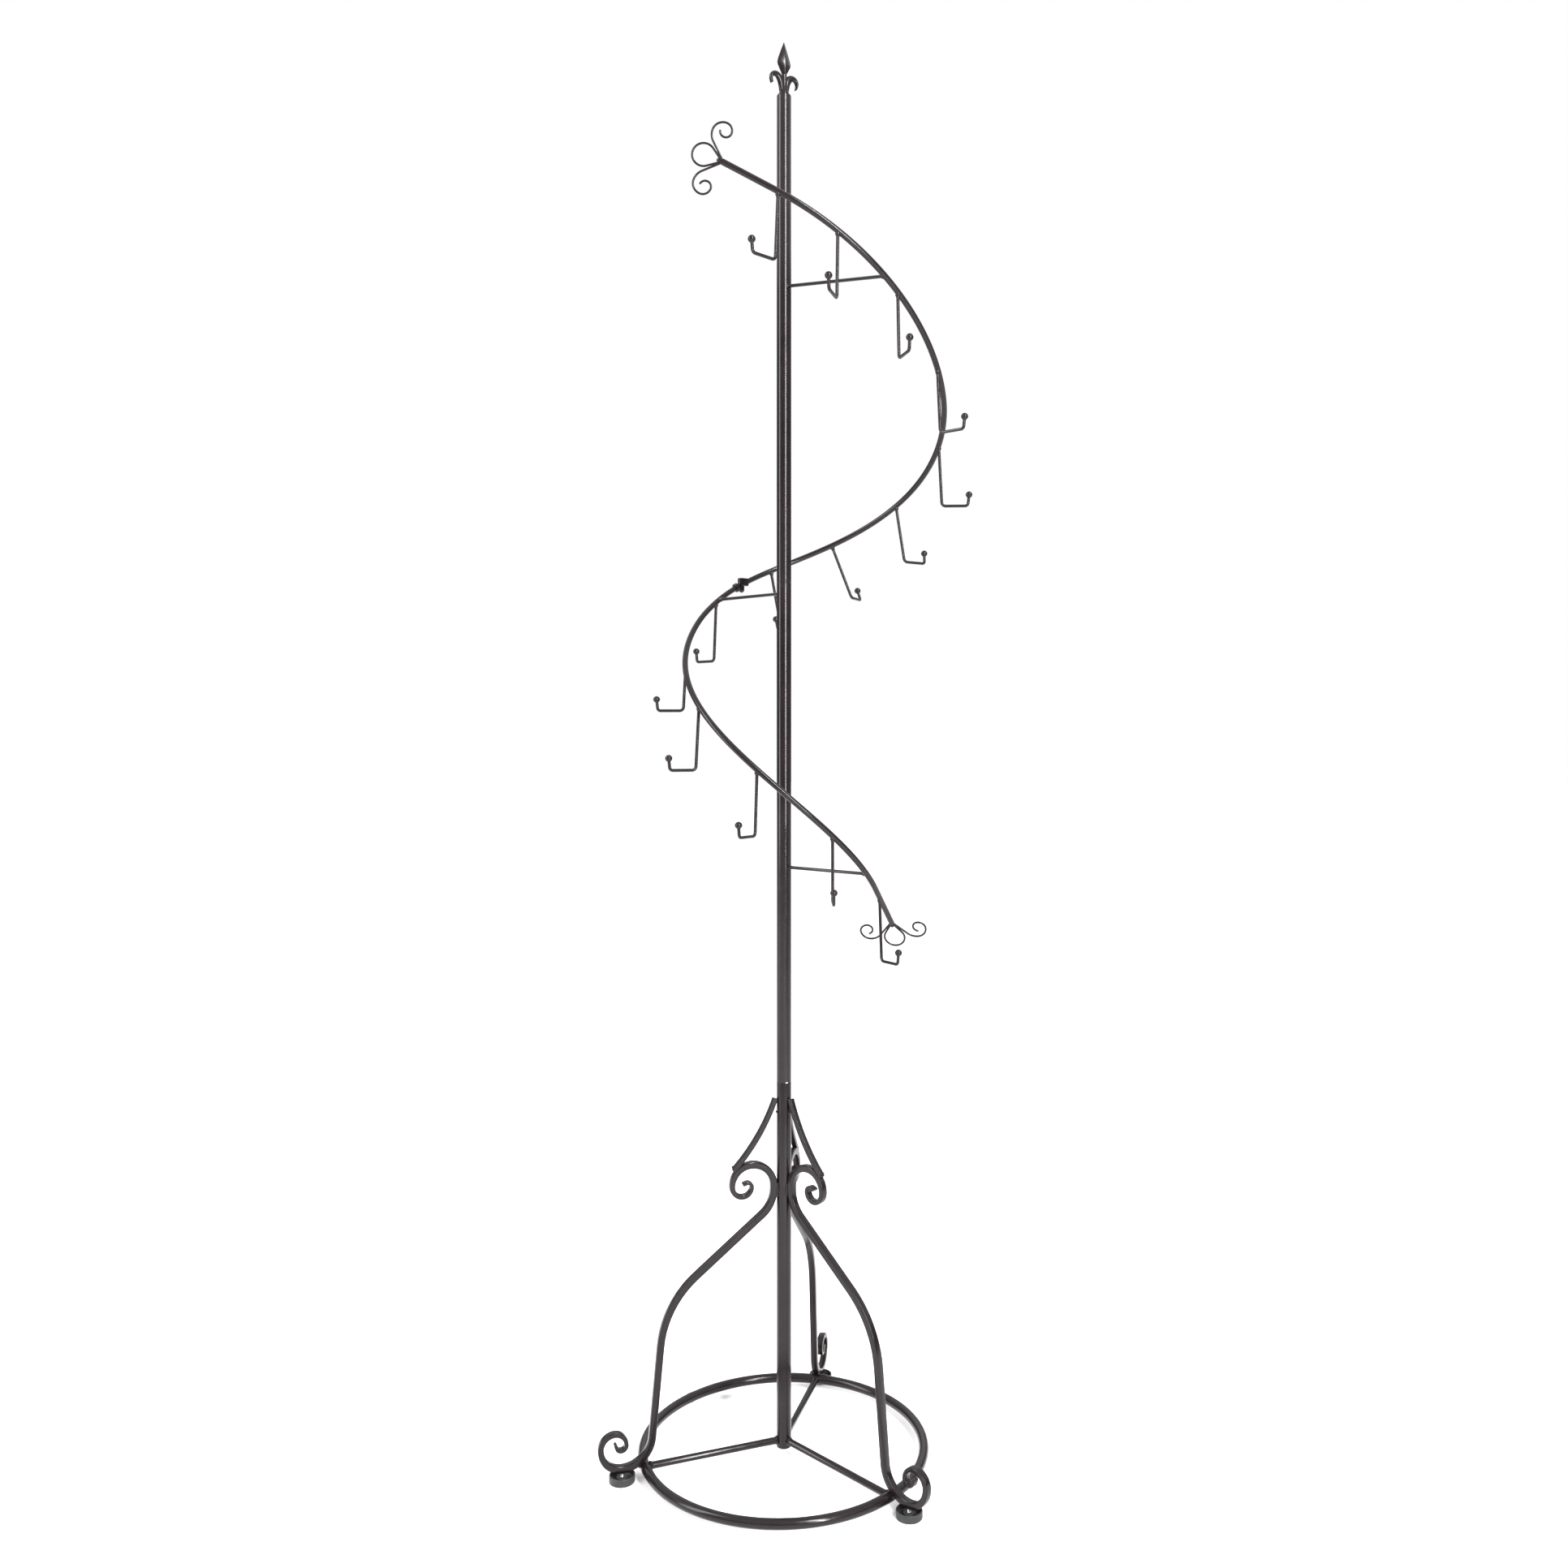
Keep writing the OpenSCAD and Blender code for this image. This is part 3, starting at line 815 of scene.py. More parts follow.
@dataclass
class Finial(Assembly):
    """A four-edged spear on a stem, between two drooping leaves."""

    foot_z: float
    facing: float = 35.0
    stem_h: float = 24.0
    spear_w: float = 20.5
    spear_t: float = 9.0
    spear_h: float = 43.0
    leaf_w: float = 6.4
    leaf_reach: float = 20.0
    leaf_rise: float = 9.6

    def stem(self) -> bpy.types.Object:
        """Turns the stem.

        Returns:
            The stem.
        """
        profile = [(0, 6.2), (0.4, 6.4), (1.6, 6.4), (2.4, 6.1), (4.5, 5.5), (7, 5.0)]
        profile += [(10, 4.5), (13, 4.2), (18, 3.85), (self.stem_h, 3.6)]
        return put(sweep("finial_neck", Section.ROUND, turned(profile), 40), move(z=self.foot_z))

    def spear(self) -> bpy.types.Object:
        """Draws the spear out to its widest and then to its point.

        Returns:
            The spear.
        """
        foot = self.foot_z + self.stem_h - 2
        # height, width and thickness, each as a share of the spear's own
        shares = [(0, 0.29, 0.53), (0.08, 0.36, 0.58), (0.2, 0.66, 0.8), (0.32, 0.93, 0.97), (0.38, 1, 1)]
        shares += [(0.46, 0.93, 0.95), (0.6, 0.72, 0.76), (0.75, 0.47, 0.52), (0.9, 0.19, 0.24)]
        shares += [(1, 0.02, 0.03)]
        side, up = Vector((1, 0, 0)), Vector((0, 0, 1))
        wide, thick = self.spear_w / 2, self.spear_t / 2
        places = [
            station(up * (foot + self.spear_h * z), side, up, wide * w, thick * t) for z, w, t in shares
        ]
        return put(sweep("finial_spearhead", Section.DIAMOND, places), turn(self.facing))

    def leaf(self, name: str, side: int) -> bpy.types.Object:
        """Bends one leaf from the stem, over and down to its tip.

        Args:
            name: Name of the piece.
            side: 1 for the leaf ahead, -1 for the one behind.

        Returns:
            The leaf.
        """
        reach = self.leaf_reach
        rise = trace(Mark(3.2, 2.5, 83, 5.6), [Run(0, self.leaf_rise), Run(-reach, 25)], 8.6, 8)
        over = [Run(-reach * 0.31, 138), Run(-reach * 0.45, 30), Run(0, 2.4)]
        marks = rise + trace(rise[-1], over, 2.0, 8)[1:]
        places = flat_stations(marks, self.leaf_w)
        leaf = sweep(name, Section.ROUND, places, 20)
        return put(leaf, turn(self.facing + 90 - 90 * side) @ move(z=self.foot_z))

    def pieces(self) -> Iterator[tuple[bpy.types.Object, str]]:
        """Yields the stem, the leaves and the spear.

        Returns:
            Each piece in turn, with its CAD node.
        """
        yield self.stem(), "finial_stem"
        yield self.leaf("finial_leaf_front", 1), "finial_leaf_a"
        yield self.leaf("finial_leaf_back", -1), "finial_leaf_b"
        yield self.spear(), "finial_spear"


# ---------------------------------------------------------------- the base


@dataclass
class Foot:
    """A cupped levelling foot and its screw, modelled on the Z axis."""

    radius: float = 15.25
    height: float = 9.2
    wall: float = 2.0
    floor: float = 2.2
    screw_r: float = 2.5
    head_r: float = 4.5
    head_h: float = 2.2
    gap: float = 0.1
    cap_h: float = 1.5
    pitch: float = 0.8

    def pad(self) -> bpy.types.Object:
        """Turns the cup, with the boss that holds the screw's head.

        Returns:
            The cup.
        """
        lip = self.wall / 2
        boss_r = self.head_r + 2.5
        roof = self.floor + self.head_h + 2 * self.gap
        hole = self.screw_r + self.gap
        rim = [
            (self.height - lip + y, self.radius - lip + x) for x, y in rounded(lip, 0, 180, 8)
        ]
        profile = [(0, AXIS_GAP), (0, self.radius - 1), (0.3, self.radius - 0.3), (1, self.radius)]
        profile += rim
        profile += [(self.floor + 1, self.radius - self.wall), (self.floor, self.radius - self.wall - 1)]
        profile += [(self.floor, boss_r + 0.8), (self.floor + 0.8, boss_r)]
        profile += [(roof + self.cap_h - 0.4, boss_r), (roof + self.cap_h, boss_r - 0.4)]
        profile += [(roof + self.cap_h, hole), (roof, hole), (roof, self.head_r + self.gap)]
        profile += [(self.floor, self.head_r + self.gap), (self.floor, AXIS_GAP)]
        return sweep("foot_cup", Section.ROUND, turned(profile), 64)

    def screw(self, top: float) -> bpy.types.Object:
        """Turns the screw, with its head and the ridges of its thread.

        Args:
            top: Height of the screw's upper end.

        Returns:
            The screw.
        """
        z0 = self.floor + self.gap
        neck = z0 + self.head_h
        profile = [(z0, AXIS_GAP), (z0, self.head_r - 0.3), (z0 + 0.3, self.head_r)]
        profile += [(neck - 0.3, self.head_r), (neck, self.head_r - 0.3), (neck, self.screw_r - 0.3)]
        z = neck + 0.2
        while z < top - 1.4:
            profile += [(z, self.screw_r - 0.35), (z + self.pitch * 0.45, self.screw_r)]
            profile += [(z + self.pitch * 0.55, self.screw_r)]
            z += self.pitch
        profile += [(top - 1, self.screw_r - 0.3), (top, self.screw_r - 0.9), (top, AXIS_GAP)]
        return sweep("foot_stud", Section.ROUND, turned(profile), 32)


@dataclass
class Base(Assembly):
    """Three scrolled legs on a ring, with spokes, struts and levelling feet."""

    pole_r: float = 9.0
    seam_z: float = 459.0
    bar: float = 8.6
    tip: float = 4.0
    facing: float = 77.6
    neck_r: float = 39.0
    slope: float = 38.7
    slope_len: float = 106.2
    shoulder_r: float = 115.0
    lean: float = 5.3
    drop_len: float = 106.3
    heel_r: float = 36.0
    toe_r: float = 25.5
    crown_r: float = 27.5
    ring_d: float = 12.0
    ring_seat: float = 53.8
    spoke_r: float = 4.1
    spoke_rise: float = 6.0
    strut: float = 6.6
    strut_drop: float = 19.0
    strut_seat: float = 45.0
    strut_bow: float = 24.0
    pad_lift: float = 1.5
    sink: float = 0.4
    count: int = 3
    foot: Foot = field(default_factory=Foot)

    def __post_init__(self) -> None:
        """Works out where the legs, the ring and the feet are."""
        self.heel_z = self.foot.height + self.pad_lift + self.bar / 2
        self.body_runs = [
            Run(self.neck_r, 90 - self.slope),
            Run(0, self.slope_len),
            Run(-self.shoulder_r, 90 - self.slope - self.lean),
            Run(0, self.drop_len),
            Run(self.heel_r, 90 - self.lean),
        ]
        self.contact_r = self.pole_r + self.bar / 2
        drop = trace(Mark(self.contact_r, 0, -90, self.bar), self.body_runs, self.bar)[-1]
        self.foot_r = drop.x
        self.contact_z = self.heel_z - drop.y
        reach = self.heel_r + self.bar / 2 + self.ring_d / 2 - self.sink
        self.ring_r = self.foot_r - reach * math.cos(math.radians(self.ring_seat))
        self.ring_z = self.heel_z + self.heel_r - reach * math.sin(math.radians(self.ring_seat))
        self.crown_x = self.contact_r + self.crown_r
        self.crown_z = self.contact_z + 4 + self.crown_r * 0.1

    def leg_marks(self) -> list[Mark]:
        """Returns the marks of a whole leg, from its crown's tip to its toe's.

        Returns:
            The marks.
        """
        start = Mark(self.contact_r, self.contact_z, -90, self.bar)
        c, t = self.crown_r, self.toe_r
        crown = trace(start.turned_back(), [Run(0, 4), Run(-c, 90)], self.bar)
        crown_bends = ((0.9, 90), (0.48, 90), (0.41, 90), (0.19, 110))
        crown_curl = [*(Run(-c * size, degrees) for size, degrees in crown_bends), Run(0, 3.5)]
        up = crown + trace(crown[-1], crown_curl, self.tip)[1:]
        down = trace(start, self.body_runs, self.bar)
        toe_bends = ((1, 90), (0.65, 90), (0.54, 90), (0.25, 90), (0.22, 70))
        toe_curl = [*(Run(t * size, degrees) for size, degrees in toe_bends), Run(0, 4)]
        down += trace(down[-1], toe_curl, self.tip)[1:]
        return [m.turned_back() for m in reversed(up)] + down[1:]

    def leg(self) -> bpy.types.Object:
        """Draws one square bar along the leg, with its welds, in the XZ plane.

        Returns:
            The leg.
        """
        marks = self.leg_marks()
        ends = [Mark(m.x, m.y, m.heading, m.size * 0.62) for m in (marks[0], marks[-1])]
        first = Run(0, -1.2).after(marks[0], 1, ends[0].size)
        last = Run(0, 1.2).after(marks[-1], 1, ends[1].size)
        places = flat_stations([first, *marks, last], self.bar)
        leg = sweep("leg_bar", Section.SQUARE, places)
        half = self.bar / 2
        beads = []
        for i, side in enumerate((-1, 1)):
            y = side * (half - 0.4)
            low = Vector((self.pole_r - 0.2, y, self.contact_z - 9))
            beads.append(weld_bead(low, low + Vector((0, 0, 16)), 1.7, i))
            seat = self.heel_z + self.heel_r
            touch = self.heel_r + half
            for j, angle in enumerate((self.ring_seat - 6, self.ring_seat + 6)):
                a = math.radians(angle)
                spot = Vector((self.foot_r - touch * math.cos(a), y - 2.2, seat - touch * math.sin(a)))
                beads.append(weld_bead(spot, spot + Vector((0, 4.4, 0)), 1.5, i + 2 * j))
        return merge(leg, *beads)

    def strut_bar(self) -> bpy.types.Object:
        """Draws one bowed strut from the pole to the crown, in the XZ plane.

        Returns:
            The strut.
        """
        reach = self.crown_r * 0.9 + self.bar / 2 + 1.2
        seat = math.radians(self.strut_seat)
        end = Vector((self.crown_x + reach * math.cos(seat), self.crown_z + reach * math.sin(seat)))
        top = Vector((self.pole_r + self.strut / 2 - 0.9, self.seam_z - self.strut_drop))
        chord = end - top
        bend = chord.length / (2 * math.sin(math.radians(self.strut_bow / 2)))
        heading = math.degrees(math.atan2(chord.y, chord.x)) - self.strut_bow / 2
        marks = trace(Mark(top.x, top.y, heading, self.strut), [Run(bend, self.strut_bow)], self.strut, 1.5)
        last = marks[-1]
        point = ((1.6, 0.82), (3.0, 0.45))
        marks += [Run(0, along).after(last, 1, self.strut * size) for along, size in point]
        bar = sweep("strut_bar", Section.SQUARE, flat_stations(marks, self.strut))
        half = self.strut / 2
        heights = (top.y - 60, top.y + 20)
        cut(bar, sweep("pole", Section.ROUND, turned([(z, self.pole_r) for z in heights]), 72))
        bead = Vector((self.pole_r + 0.2, -half, top.y - 17))
        a = math.radians(last.heading)
        toe = Vector((last.x, 0, last.y)) + Vector((-math.sin(a), 0, math.cos(a))) * (half + 0.2)
        beads = [weld_bead(bead, bead + Vector((0, 2 * half, 0)), 1.3, 5)]
        beads.append(weld_bead(toe + Vector((0, -half, 0)), toe + Vector((0, half, 0)), 1.2, 7))
        return merge(bar, *beads)

    def spoke(self) -> bpy.types.Object:
        """Turns one spoke along X, with a fillet of weld at each end.

        Returns:
            The spoke.
        """
        r = self.spoke_r
        foot = self.ring_z - 0.8
        a = Vector((self.pole_r - 1, 0, foot + self.spoke_rise))
        b = Vector((self.ring_r - self.ring_d / 2 + 0.8, 0, foot))
        fillet = [(0.0, r), (0.9, r + 1.3), (1.8, r + 1.1), (3.0, r + 0.3), (4.2, r)]
        profile = fillet + [(-4.6, r), (-3.4, r + 0.3), (-2.0, r + 1.1), (-0.9, r + 1.3), (-0.001, r)]
        return sweep("spoke_rod", Section.ROUND, between(a, b, profile), 28)

    def ring(self) -> bpy.types.Object:
        """Makes the ring, with the raised butt weld where its tube meets itself.

        Returns:
            The ring.
        """
        bpy.ops.object.select_all(action="DESELECT")
        bpy.ops.mesh.primitive_torus_add(
            major_radius=self.ring_r * MM,
            minor_radius=self.ring_d / 2 * MM,
            major_segments=180,
            minor_segments=28,
            location=(0, 0, self.ring_z * MM),
        )
        ring = bpy.context.object
        ring.name = ring.data.name = "base_hoop"
        bpy.ops.object.transform_apply(location=True, rotation=True, scale=True)
        angle = math.radians(self.facing + 60)
        middle = Vector((self.ring_r * math.cos(angle), self.ring_r * math.sin(angle), self.ring_z)) * MM
        with Editing(ring):
            bpy.ops.mesh.select_all(action="DESELECT")
            mesh = bmesh.from_edit_mesh(ring.data)
            for v in mesh.verts:
                flat = Vector((v.co.x, v.co.y, 0)).normalized()
                v.select = flat.angle(Vector((middle.x, middle.y, 0))) < math.radians(0.9)
            mesh.select_flush(True)
            swell = Matrix.Diagonal((1.06, 1.06, 1.06, 1))
            move_selected(ring, Matrix.Translation(middle) @ swell @ Matrix.Translation(-middle))
        smooth(ring)
        return ring

    def pieces(self) -> Iterator[tuple[bpy.types.Object, str]]:
        """Yields the ring, and then a copy of each other piece for each leg.

        Returns:
            Each piece in turn, with its CAD node.
        """
        yield self.ring(), "base_ring"
        screw_top = self.heel_z + self.bar / 2 - 0.4
        out = move(x=self.foot_r)
        patterns = {
            "leg": self.leg(),
            "spoke": self.spoke(),
            "strut": self.strut_bar(),
            "foot_pad": put(self.foot.pad(), out),
            "foot_screw": put(self.foot.screw(screw_top), out),
        }
        for part, pattern in patterns.items():
            for k in range(self.count):
                name = f"{pattern.name}_{'abc'[k]}"
                place = turn(self.facing + 360 / self.count * k)
                yield copy_of(pattern, name, place), f"{part}_{k + 1}"
            bpy.data.objects.remove(pattern)


# ---------------------------------------------------------------- the spiral


@dataclass
class SpiralLine:
    """The line that the spiral rod follows, by turns from its start."""

    seam_z: float = 1074.0
    reach_top: float = 197.0
    reach_low: float = 121.0
    narrow_from: float = 0.22
    narrow_to: float = 0.66
    coupling_rise: float = 11.0
    pitch: float = 653.0
    sag: float = 57.0
    sag_turns: float = 0.69
    lead_in: float = 0.048
    straight_from: float = 1.186
    end: float = 1.258
    start_angle: float = -90.0
    coupling_at: float = 0.578

    def fall(self, t: float) -> float:
        """Returns how far the line has dropped after t turns."""
        sag = self.sag * math.sin(math.pi * t / self.sag_turns) ** 2 if 0 < t < self.sag_turns else 0
        return self.pitch * t + sag

    def coil(self, t: float) -> Vector:
        """Returns the coil's point after t turns.

        Args:
            t: Turns from the coil's start.

        Returns:
            The point, in millimetres.
        """
        share = min(max((t - self.narrow_from) / (self.narrow_to - self.narrow_from), 0), 1)
        ease = share * share * (3 - 2 * share)
        r = self.reach_top + (self.reach_low - self.reach_top) * ease
        a = math.radians(self.start_angle + 360 * t)
        top = self.seam_z + self.coupling_rise + self.fall(self.coupling_at)
        return Vector((r * math.cos(a), r * math.sin(a), top - self.fall(t)))

    def slope(self, t: float) -> Vector:
        """Returns the way ahead, in millimetres for each turn."""
        held = min(max(t, 0), self.straight_from)
        return (self.coil(held + 0.0005) - self.coil(held - 0.0005)) / 0.001

    def point(self, t: float) -> Vector:
        """Returns the rod's middle after t turns, its straight ends included."""
        held = min(max(t, 0), self.straight_from)
        return self.coil(held) + self.slope(t) * (t - held)

    def ahead(self, t: float) -> Vector:
        """Returns the unit way ahead after t turns."""
        return self.slope(t).normalized()

    def end_place(self, t: float, way: int, roll: float, tilt: float) -> Matrix:
        """Returns the place whose own X runs out of the rod's end.

        Args:
            t: Turns at the end.
            way: 1 for the far end, -1 for the start.
            roll: Turning about the rod, in degrees.
            tilt: Turning down from the rod's line, in degrees.

        Returns:
            The place, in metres.
        """
        v = self.ahead(t) * way
        rise = math.degrees(math.asin(v.z))
        azimuth = math.degrees(math.atan2(v.y, v.x))
        p = self.point(t)
        return move(p.x, p.y, p.z) @ turn(azimuth) @ turn(tilt - rise, "Y") @ turn(roll, "X")


@dataclass
class SpiralRod(Assembly):
    """The spiral rod in two lengths, with the coupling between them."""

    line: SpiralLine
    radius: float = 3.45
    step: float = 0.0048
    peg_r: float = 2.5
    peg_foot_r: float = 3.7
    peg_foot_len: float = 9.0
    peg_drop: float = 1.5
    eye_h: float = 10.0
    eye_w: float = 10.0
    eye_gap: float = 0.1
    collar_r: float = 5.75

    @property
    def low_start(self) -> float:
        """Turns where the lower length starts."""
        return self.line.coupling_at + 0.0092

    @property
    def high_end(self) -> float:
        """Turns where the upper length ends."""
        return self.line.coupling_at - 0.006

    def length(self, name: str, t0: float, t1: float) -> bpy.types.Object:
        """Draws the rod from t0 to t1 turns.

        Args:
            name: Name of the piece.
            t0: Turns at its start.
            t1: Turns at its end.

        Returns:
            The length of rod.
        """
        count = math.ceil((t1 - t0) / self.step)
        places = []
        for i in range(count + 1):
            t = t0 + (t1 - t0) * i / count
            ahead = self.line.ahead(t)
            across = ahead.cross(Vector((0, 0, 1)))
            places.append(station(self.line.point(t), across, ahead, self.radius, self.radius))
        return sweep(name, Section.ROUND, places, 24)

    def coupling_place(self) -> Matrix:
        """Returns the place of the peg's foot end, with X along the rod.

        Returns:
            The place, in metres.
        """
        p = self.line.point(self.line.coupling_at)
        v = self.line.ahead(self.line.coupling_at)
        return move(p.x, p.y, p.z - self.peg_drop) @ turn(math.degrees(math.atan2(v.y, v.x)))

    def eye(self) -> bpy.types.Object:
        """Makes the bored block on the upper length.

        Returns:
            The block.
        """
        r, h = self.eye_w / 2, self.eye_h
        profile = [(0, AXIS_GAP), (0, r - 0.6), (0.6, r), (h - 0.6, r), (h, r - 0.6), (h, AXIS_GAP)]
        block = sweep("coupling_block", Section.ROUND, turned(profile), 48)
        back = self.eye_w * 0.85
        up, side = Vector((0, 0, 1)), Vector((1, 0, 0))
        middle = Vector((-back / 2, 0, 0))
        heights = [(0.0, -0.6), (0.6, 0.0), (h - 0.6, 0.0), (h, -0.6)]
        places = [station(middle + up * z, side, up, back / 2 + g, r + g) for z, g in heights]
        cut(block, sweep("arm", Section.SQUARE, places), "UNION")
        hole = self.peg_r + self.eye_gap
        bore = sweep("bore", Section.ROUND, turned([(-1, hole), (h + 1, hole)]), 48)
        cut(block, bore)
        smooth(block)
        return put(block, self.coupling_place())

    def peg(self) -> bpy.types.Object:
        """Turns the round-ended peg of the lower length.

        Returns:
            The peg.
        """
        r, foot = self.peg_r, self.peg_foot_r
        low = -self.peg_foot_len
        dome = [(low + foot - foot * y, foot * x) for x, y in reversed(rounded(1, 0, 88, 8))]
        profile = [*dome, (-0.6, foot), (-0.05, foot - 0.5), (-0.05, r)]
        profile += [(self.eye_h - 1.6, r), (self.eye_h - 1, r - 0.6), (self.eye_h - 1, AXIS_GAP)]
        return put(sweep("coupling_pin", Section.ROUND, turned(profile), 40), self.coupling_place())

    def collar(self) -> bpy.types.Object:
        """Turns the ridged collar, with the web that carries the peg.

        Returns:
            The collar.
        """
        c, v = self.line.point(self.low_start), self.line.ahead(self.low_start)
        p = self.line.point(self.line.coupling_at)
        z = p.z - 1.5 - self.peg_foot_len * 0.5
        profile = [(0.0, self.radius), (1.6, self.radius), (1.9, self.collar_r - 1)]
        for i in range(3):
            at = 2.0 + 1.55 * i
            profile += [(at, self.collar_r - 0.3), (at + 0.3, self.collar_r), (at + 0.9, self.collar_r)]
            profile += [(at + 1.2, self.collar_r - 0.3), (at + 1.35, self.collar_r - 1.1)]
        profile += [(6.6, self.radius)]
        discs = sweep("coupling_rings", Section.ROUND, between(c - v * 3.2, c + v * 3.4, profile), 40)
        level = Vector((v.x, v.y, 0)).normalized()
        a = Vector((p.x, p.y, z)) + level * (self.peg_foot_r - 0.6)
        web = [(0.0, 2.2), (0.6, 2.5), (1.4, 2.2), (-0.001, 2.2)]
        return merge(discs, sweep("web", Section.ROUND, between(a, Vector((c.x, c.y, z)), web), 24))

    def pieces(self) -> Iterator[tuple[bpy.types.Object, str]]:
        """Yields the two lengths of rod and the coupling's pieces.

        Returns:
            Each piece in turn, with its CAD node.
        """
        line = self.line
        yield self.length("spiral_rod_upper", -line.lead_in, self.high_end), "spiral_upper"
        yield self.length("spiral_rod_lower", self.low_start, line.end), "spiral_lower"
        yield self.eye(), "coupling_eye"
        yield self.peg(), "coupling_peg"
        yield self.collar(), "coupling_collar"


@dataclass
class TieRods(Assembly):
    """Three thin rods that hold the spiral off the pole."""

    line: SpiralLine
    rod_r: float = 3.45
    pole_r: float = 9.0
    radius: float = 2.0
    places: tuple[tuple[str, float, float], ...] = (
        ("tie_top", 0.103, 40.0),
        ("tie_mid", 0.626, -1.5),
        ("tie_low", 1.155, 2.0),
    )

    def pieces(self) -> Iterator[tuple[bpy.types.Object, str]]:
        """Yields each tie rod, with a fillet of weld at both ends.

        Returns:
            Each piece in turn, with its CAD node.
        """
        r = self.radius
        for node, turns, rise in self.places:
            p = self.line.point(turns)
            flat = Vector((p.x, p.y, 0)).normalized() * self.pole_r
            foot = Vector((flat.x, flat.y, p.z + rise))
            ahead = (p - foot).normalized()
            fillet = [(0.0, r), (0.5, r + 1.2), (1.1, r + 1.1), (2.0, r + 0.4), (3.4, r)]
            weld = [(-4.4, r), (-3.0, r + 0.3), (-1.7, r + 0.9), (-0.6, r + 1.1), (-0.001, r)]
            places = between(foot - ahead * 0.5, p - ahead * (self.rod_r - 0.8), fillet + weld)
            yield sweep(f"{node}_rod", Section.ROUND, places, 20), node


@dataclass
class Hooks(Assembly):
    """Fourteen ball-tipped hooks: eight on the upper length and six on the lower."""

    line: SpiralLine
    radius: float = 1.85
    drop: float = 76.0
    reach: float = 33.0
    tip: float = 14.5
    ball_r: float = 4.2
    splay: float = 3.0
    top_at: float = 0.001
    top_gap: float = 0.0474
    top_drift: float = 0.0064
    top_taper: float = 0.00035
    low_at: float = 0.634
    low_gap: float = 0.105
    low_drift: float = 0.0018
    swing: float = 46.0
    lean: float = 21.0
    elbow: float = 5.0
    corner: float = 4.0
    top_count: int = 8
    low_count: int = 6

    def pattern(self) -> bpy.types.Object:
        """Bends one hook in the XZ plane, with its weld and its ball.

        Returns:
            The hook.
        """
        d = 2 * self.radius
        stem = self.drop / math.cos(math.radians(self.splay)) - self.elbow
        weld = [(0.0, 1.0), (2.6, 1.5), (3.9, 1.62), (4.8, 1.4), (6.0, 1.1), (7.5, 1.0)]
        runs = [
            Run(0, stem),
            Run(self.elbow, 90 - self.splay),
            Run(0, self.reach - self.elbow - self.corner),
            Run(self.corner, 84),
            Run(0, self.tip - self.corner - self.ball_r),
        ]
        start = Mark(0, 0, self.splay - 90, d)
        marks = [Run(0, along).after(start, 1, d * swell) for along, swell in weld]
        marks += trace(start, runs, d, 9)[1:]
        neck = math.asin(self.radius / self.ball_r)
        end = marks[-1]
        steps = 14
        for i in range(steps + 1):
            a = neck + (math.radians(177) - neck) * i / steps
            along = self.ball_r * (1 - math.cos(a)) + 0.01
            marks.append(Run(0, along).after(end, 1, 2 * self.ball_r * math.sin(a)))
        return sweep("mug_hook", Section.ROUND, flat_stations(marks), 20)

    def turns(self, k: int) -> float:
        """Returns the turns along the spiral where hook k hangs.

        Args:
            k: Number of the hook, from 0 at the top.

        Returns:
            The turns.
        """
        if k < self.top_count:
            return self.top_at + self.top_gap * k + self.top_drift * k**2 - self.top_taper * k**3
        j = k - self.top_count
        return self.low_at + self.low_gap * j + self.low_drift * j**2

    def place(self, k: int) -> Matrix:
        """Returns where hook k hangs, and how it faces and leans.

        Args:
            k: Number of the hook, from 0 at the top.

        Returns:
            The place, in metres.
        """
        if k < self.top_count:
            back = self.swing * ((self.top_count - 1 - k) / (self.top_count - 1)) ** 1.8
        else:
            back = 0.85 * self.swing * ((k - self.top_count) / (self.low_count - 1)) ** 1.6
        side = self.lean * math.cos(math.radians(45 * (k - 6))) ** 2 if abs(k - 6) < 2 else 0
        p = self.line.point(self.turns(k))
        facing = math.degrees(math.atan2(p.y, p.x)) - back
        return move(p.x, p.y, p.z) @ turn(facing) @ turn(-side, "X")

    def pieces(self) -> Iterator[tuple[bpy.types.Object, str]]:
        """Yields every hook, as a copy of one.

        Returns:
            Each piece in turn, with its CAD node.
        """
        pattern = self.pattern()
        for k in range(self.top_count + self.low_count):
            yield copy_of(pattern, f"mug_hook_{k + 1:02d}", self.place(k)), f"hook_{k + 1:02d}"
        bpy.data.objects.remove(pattern)


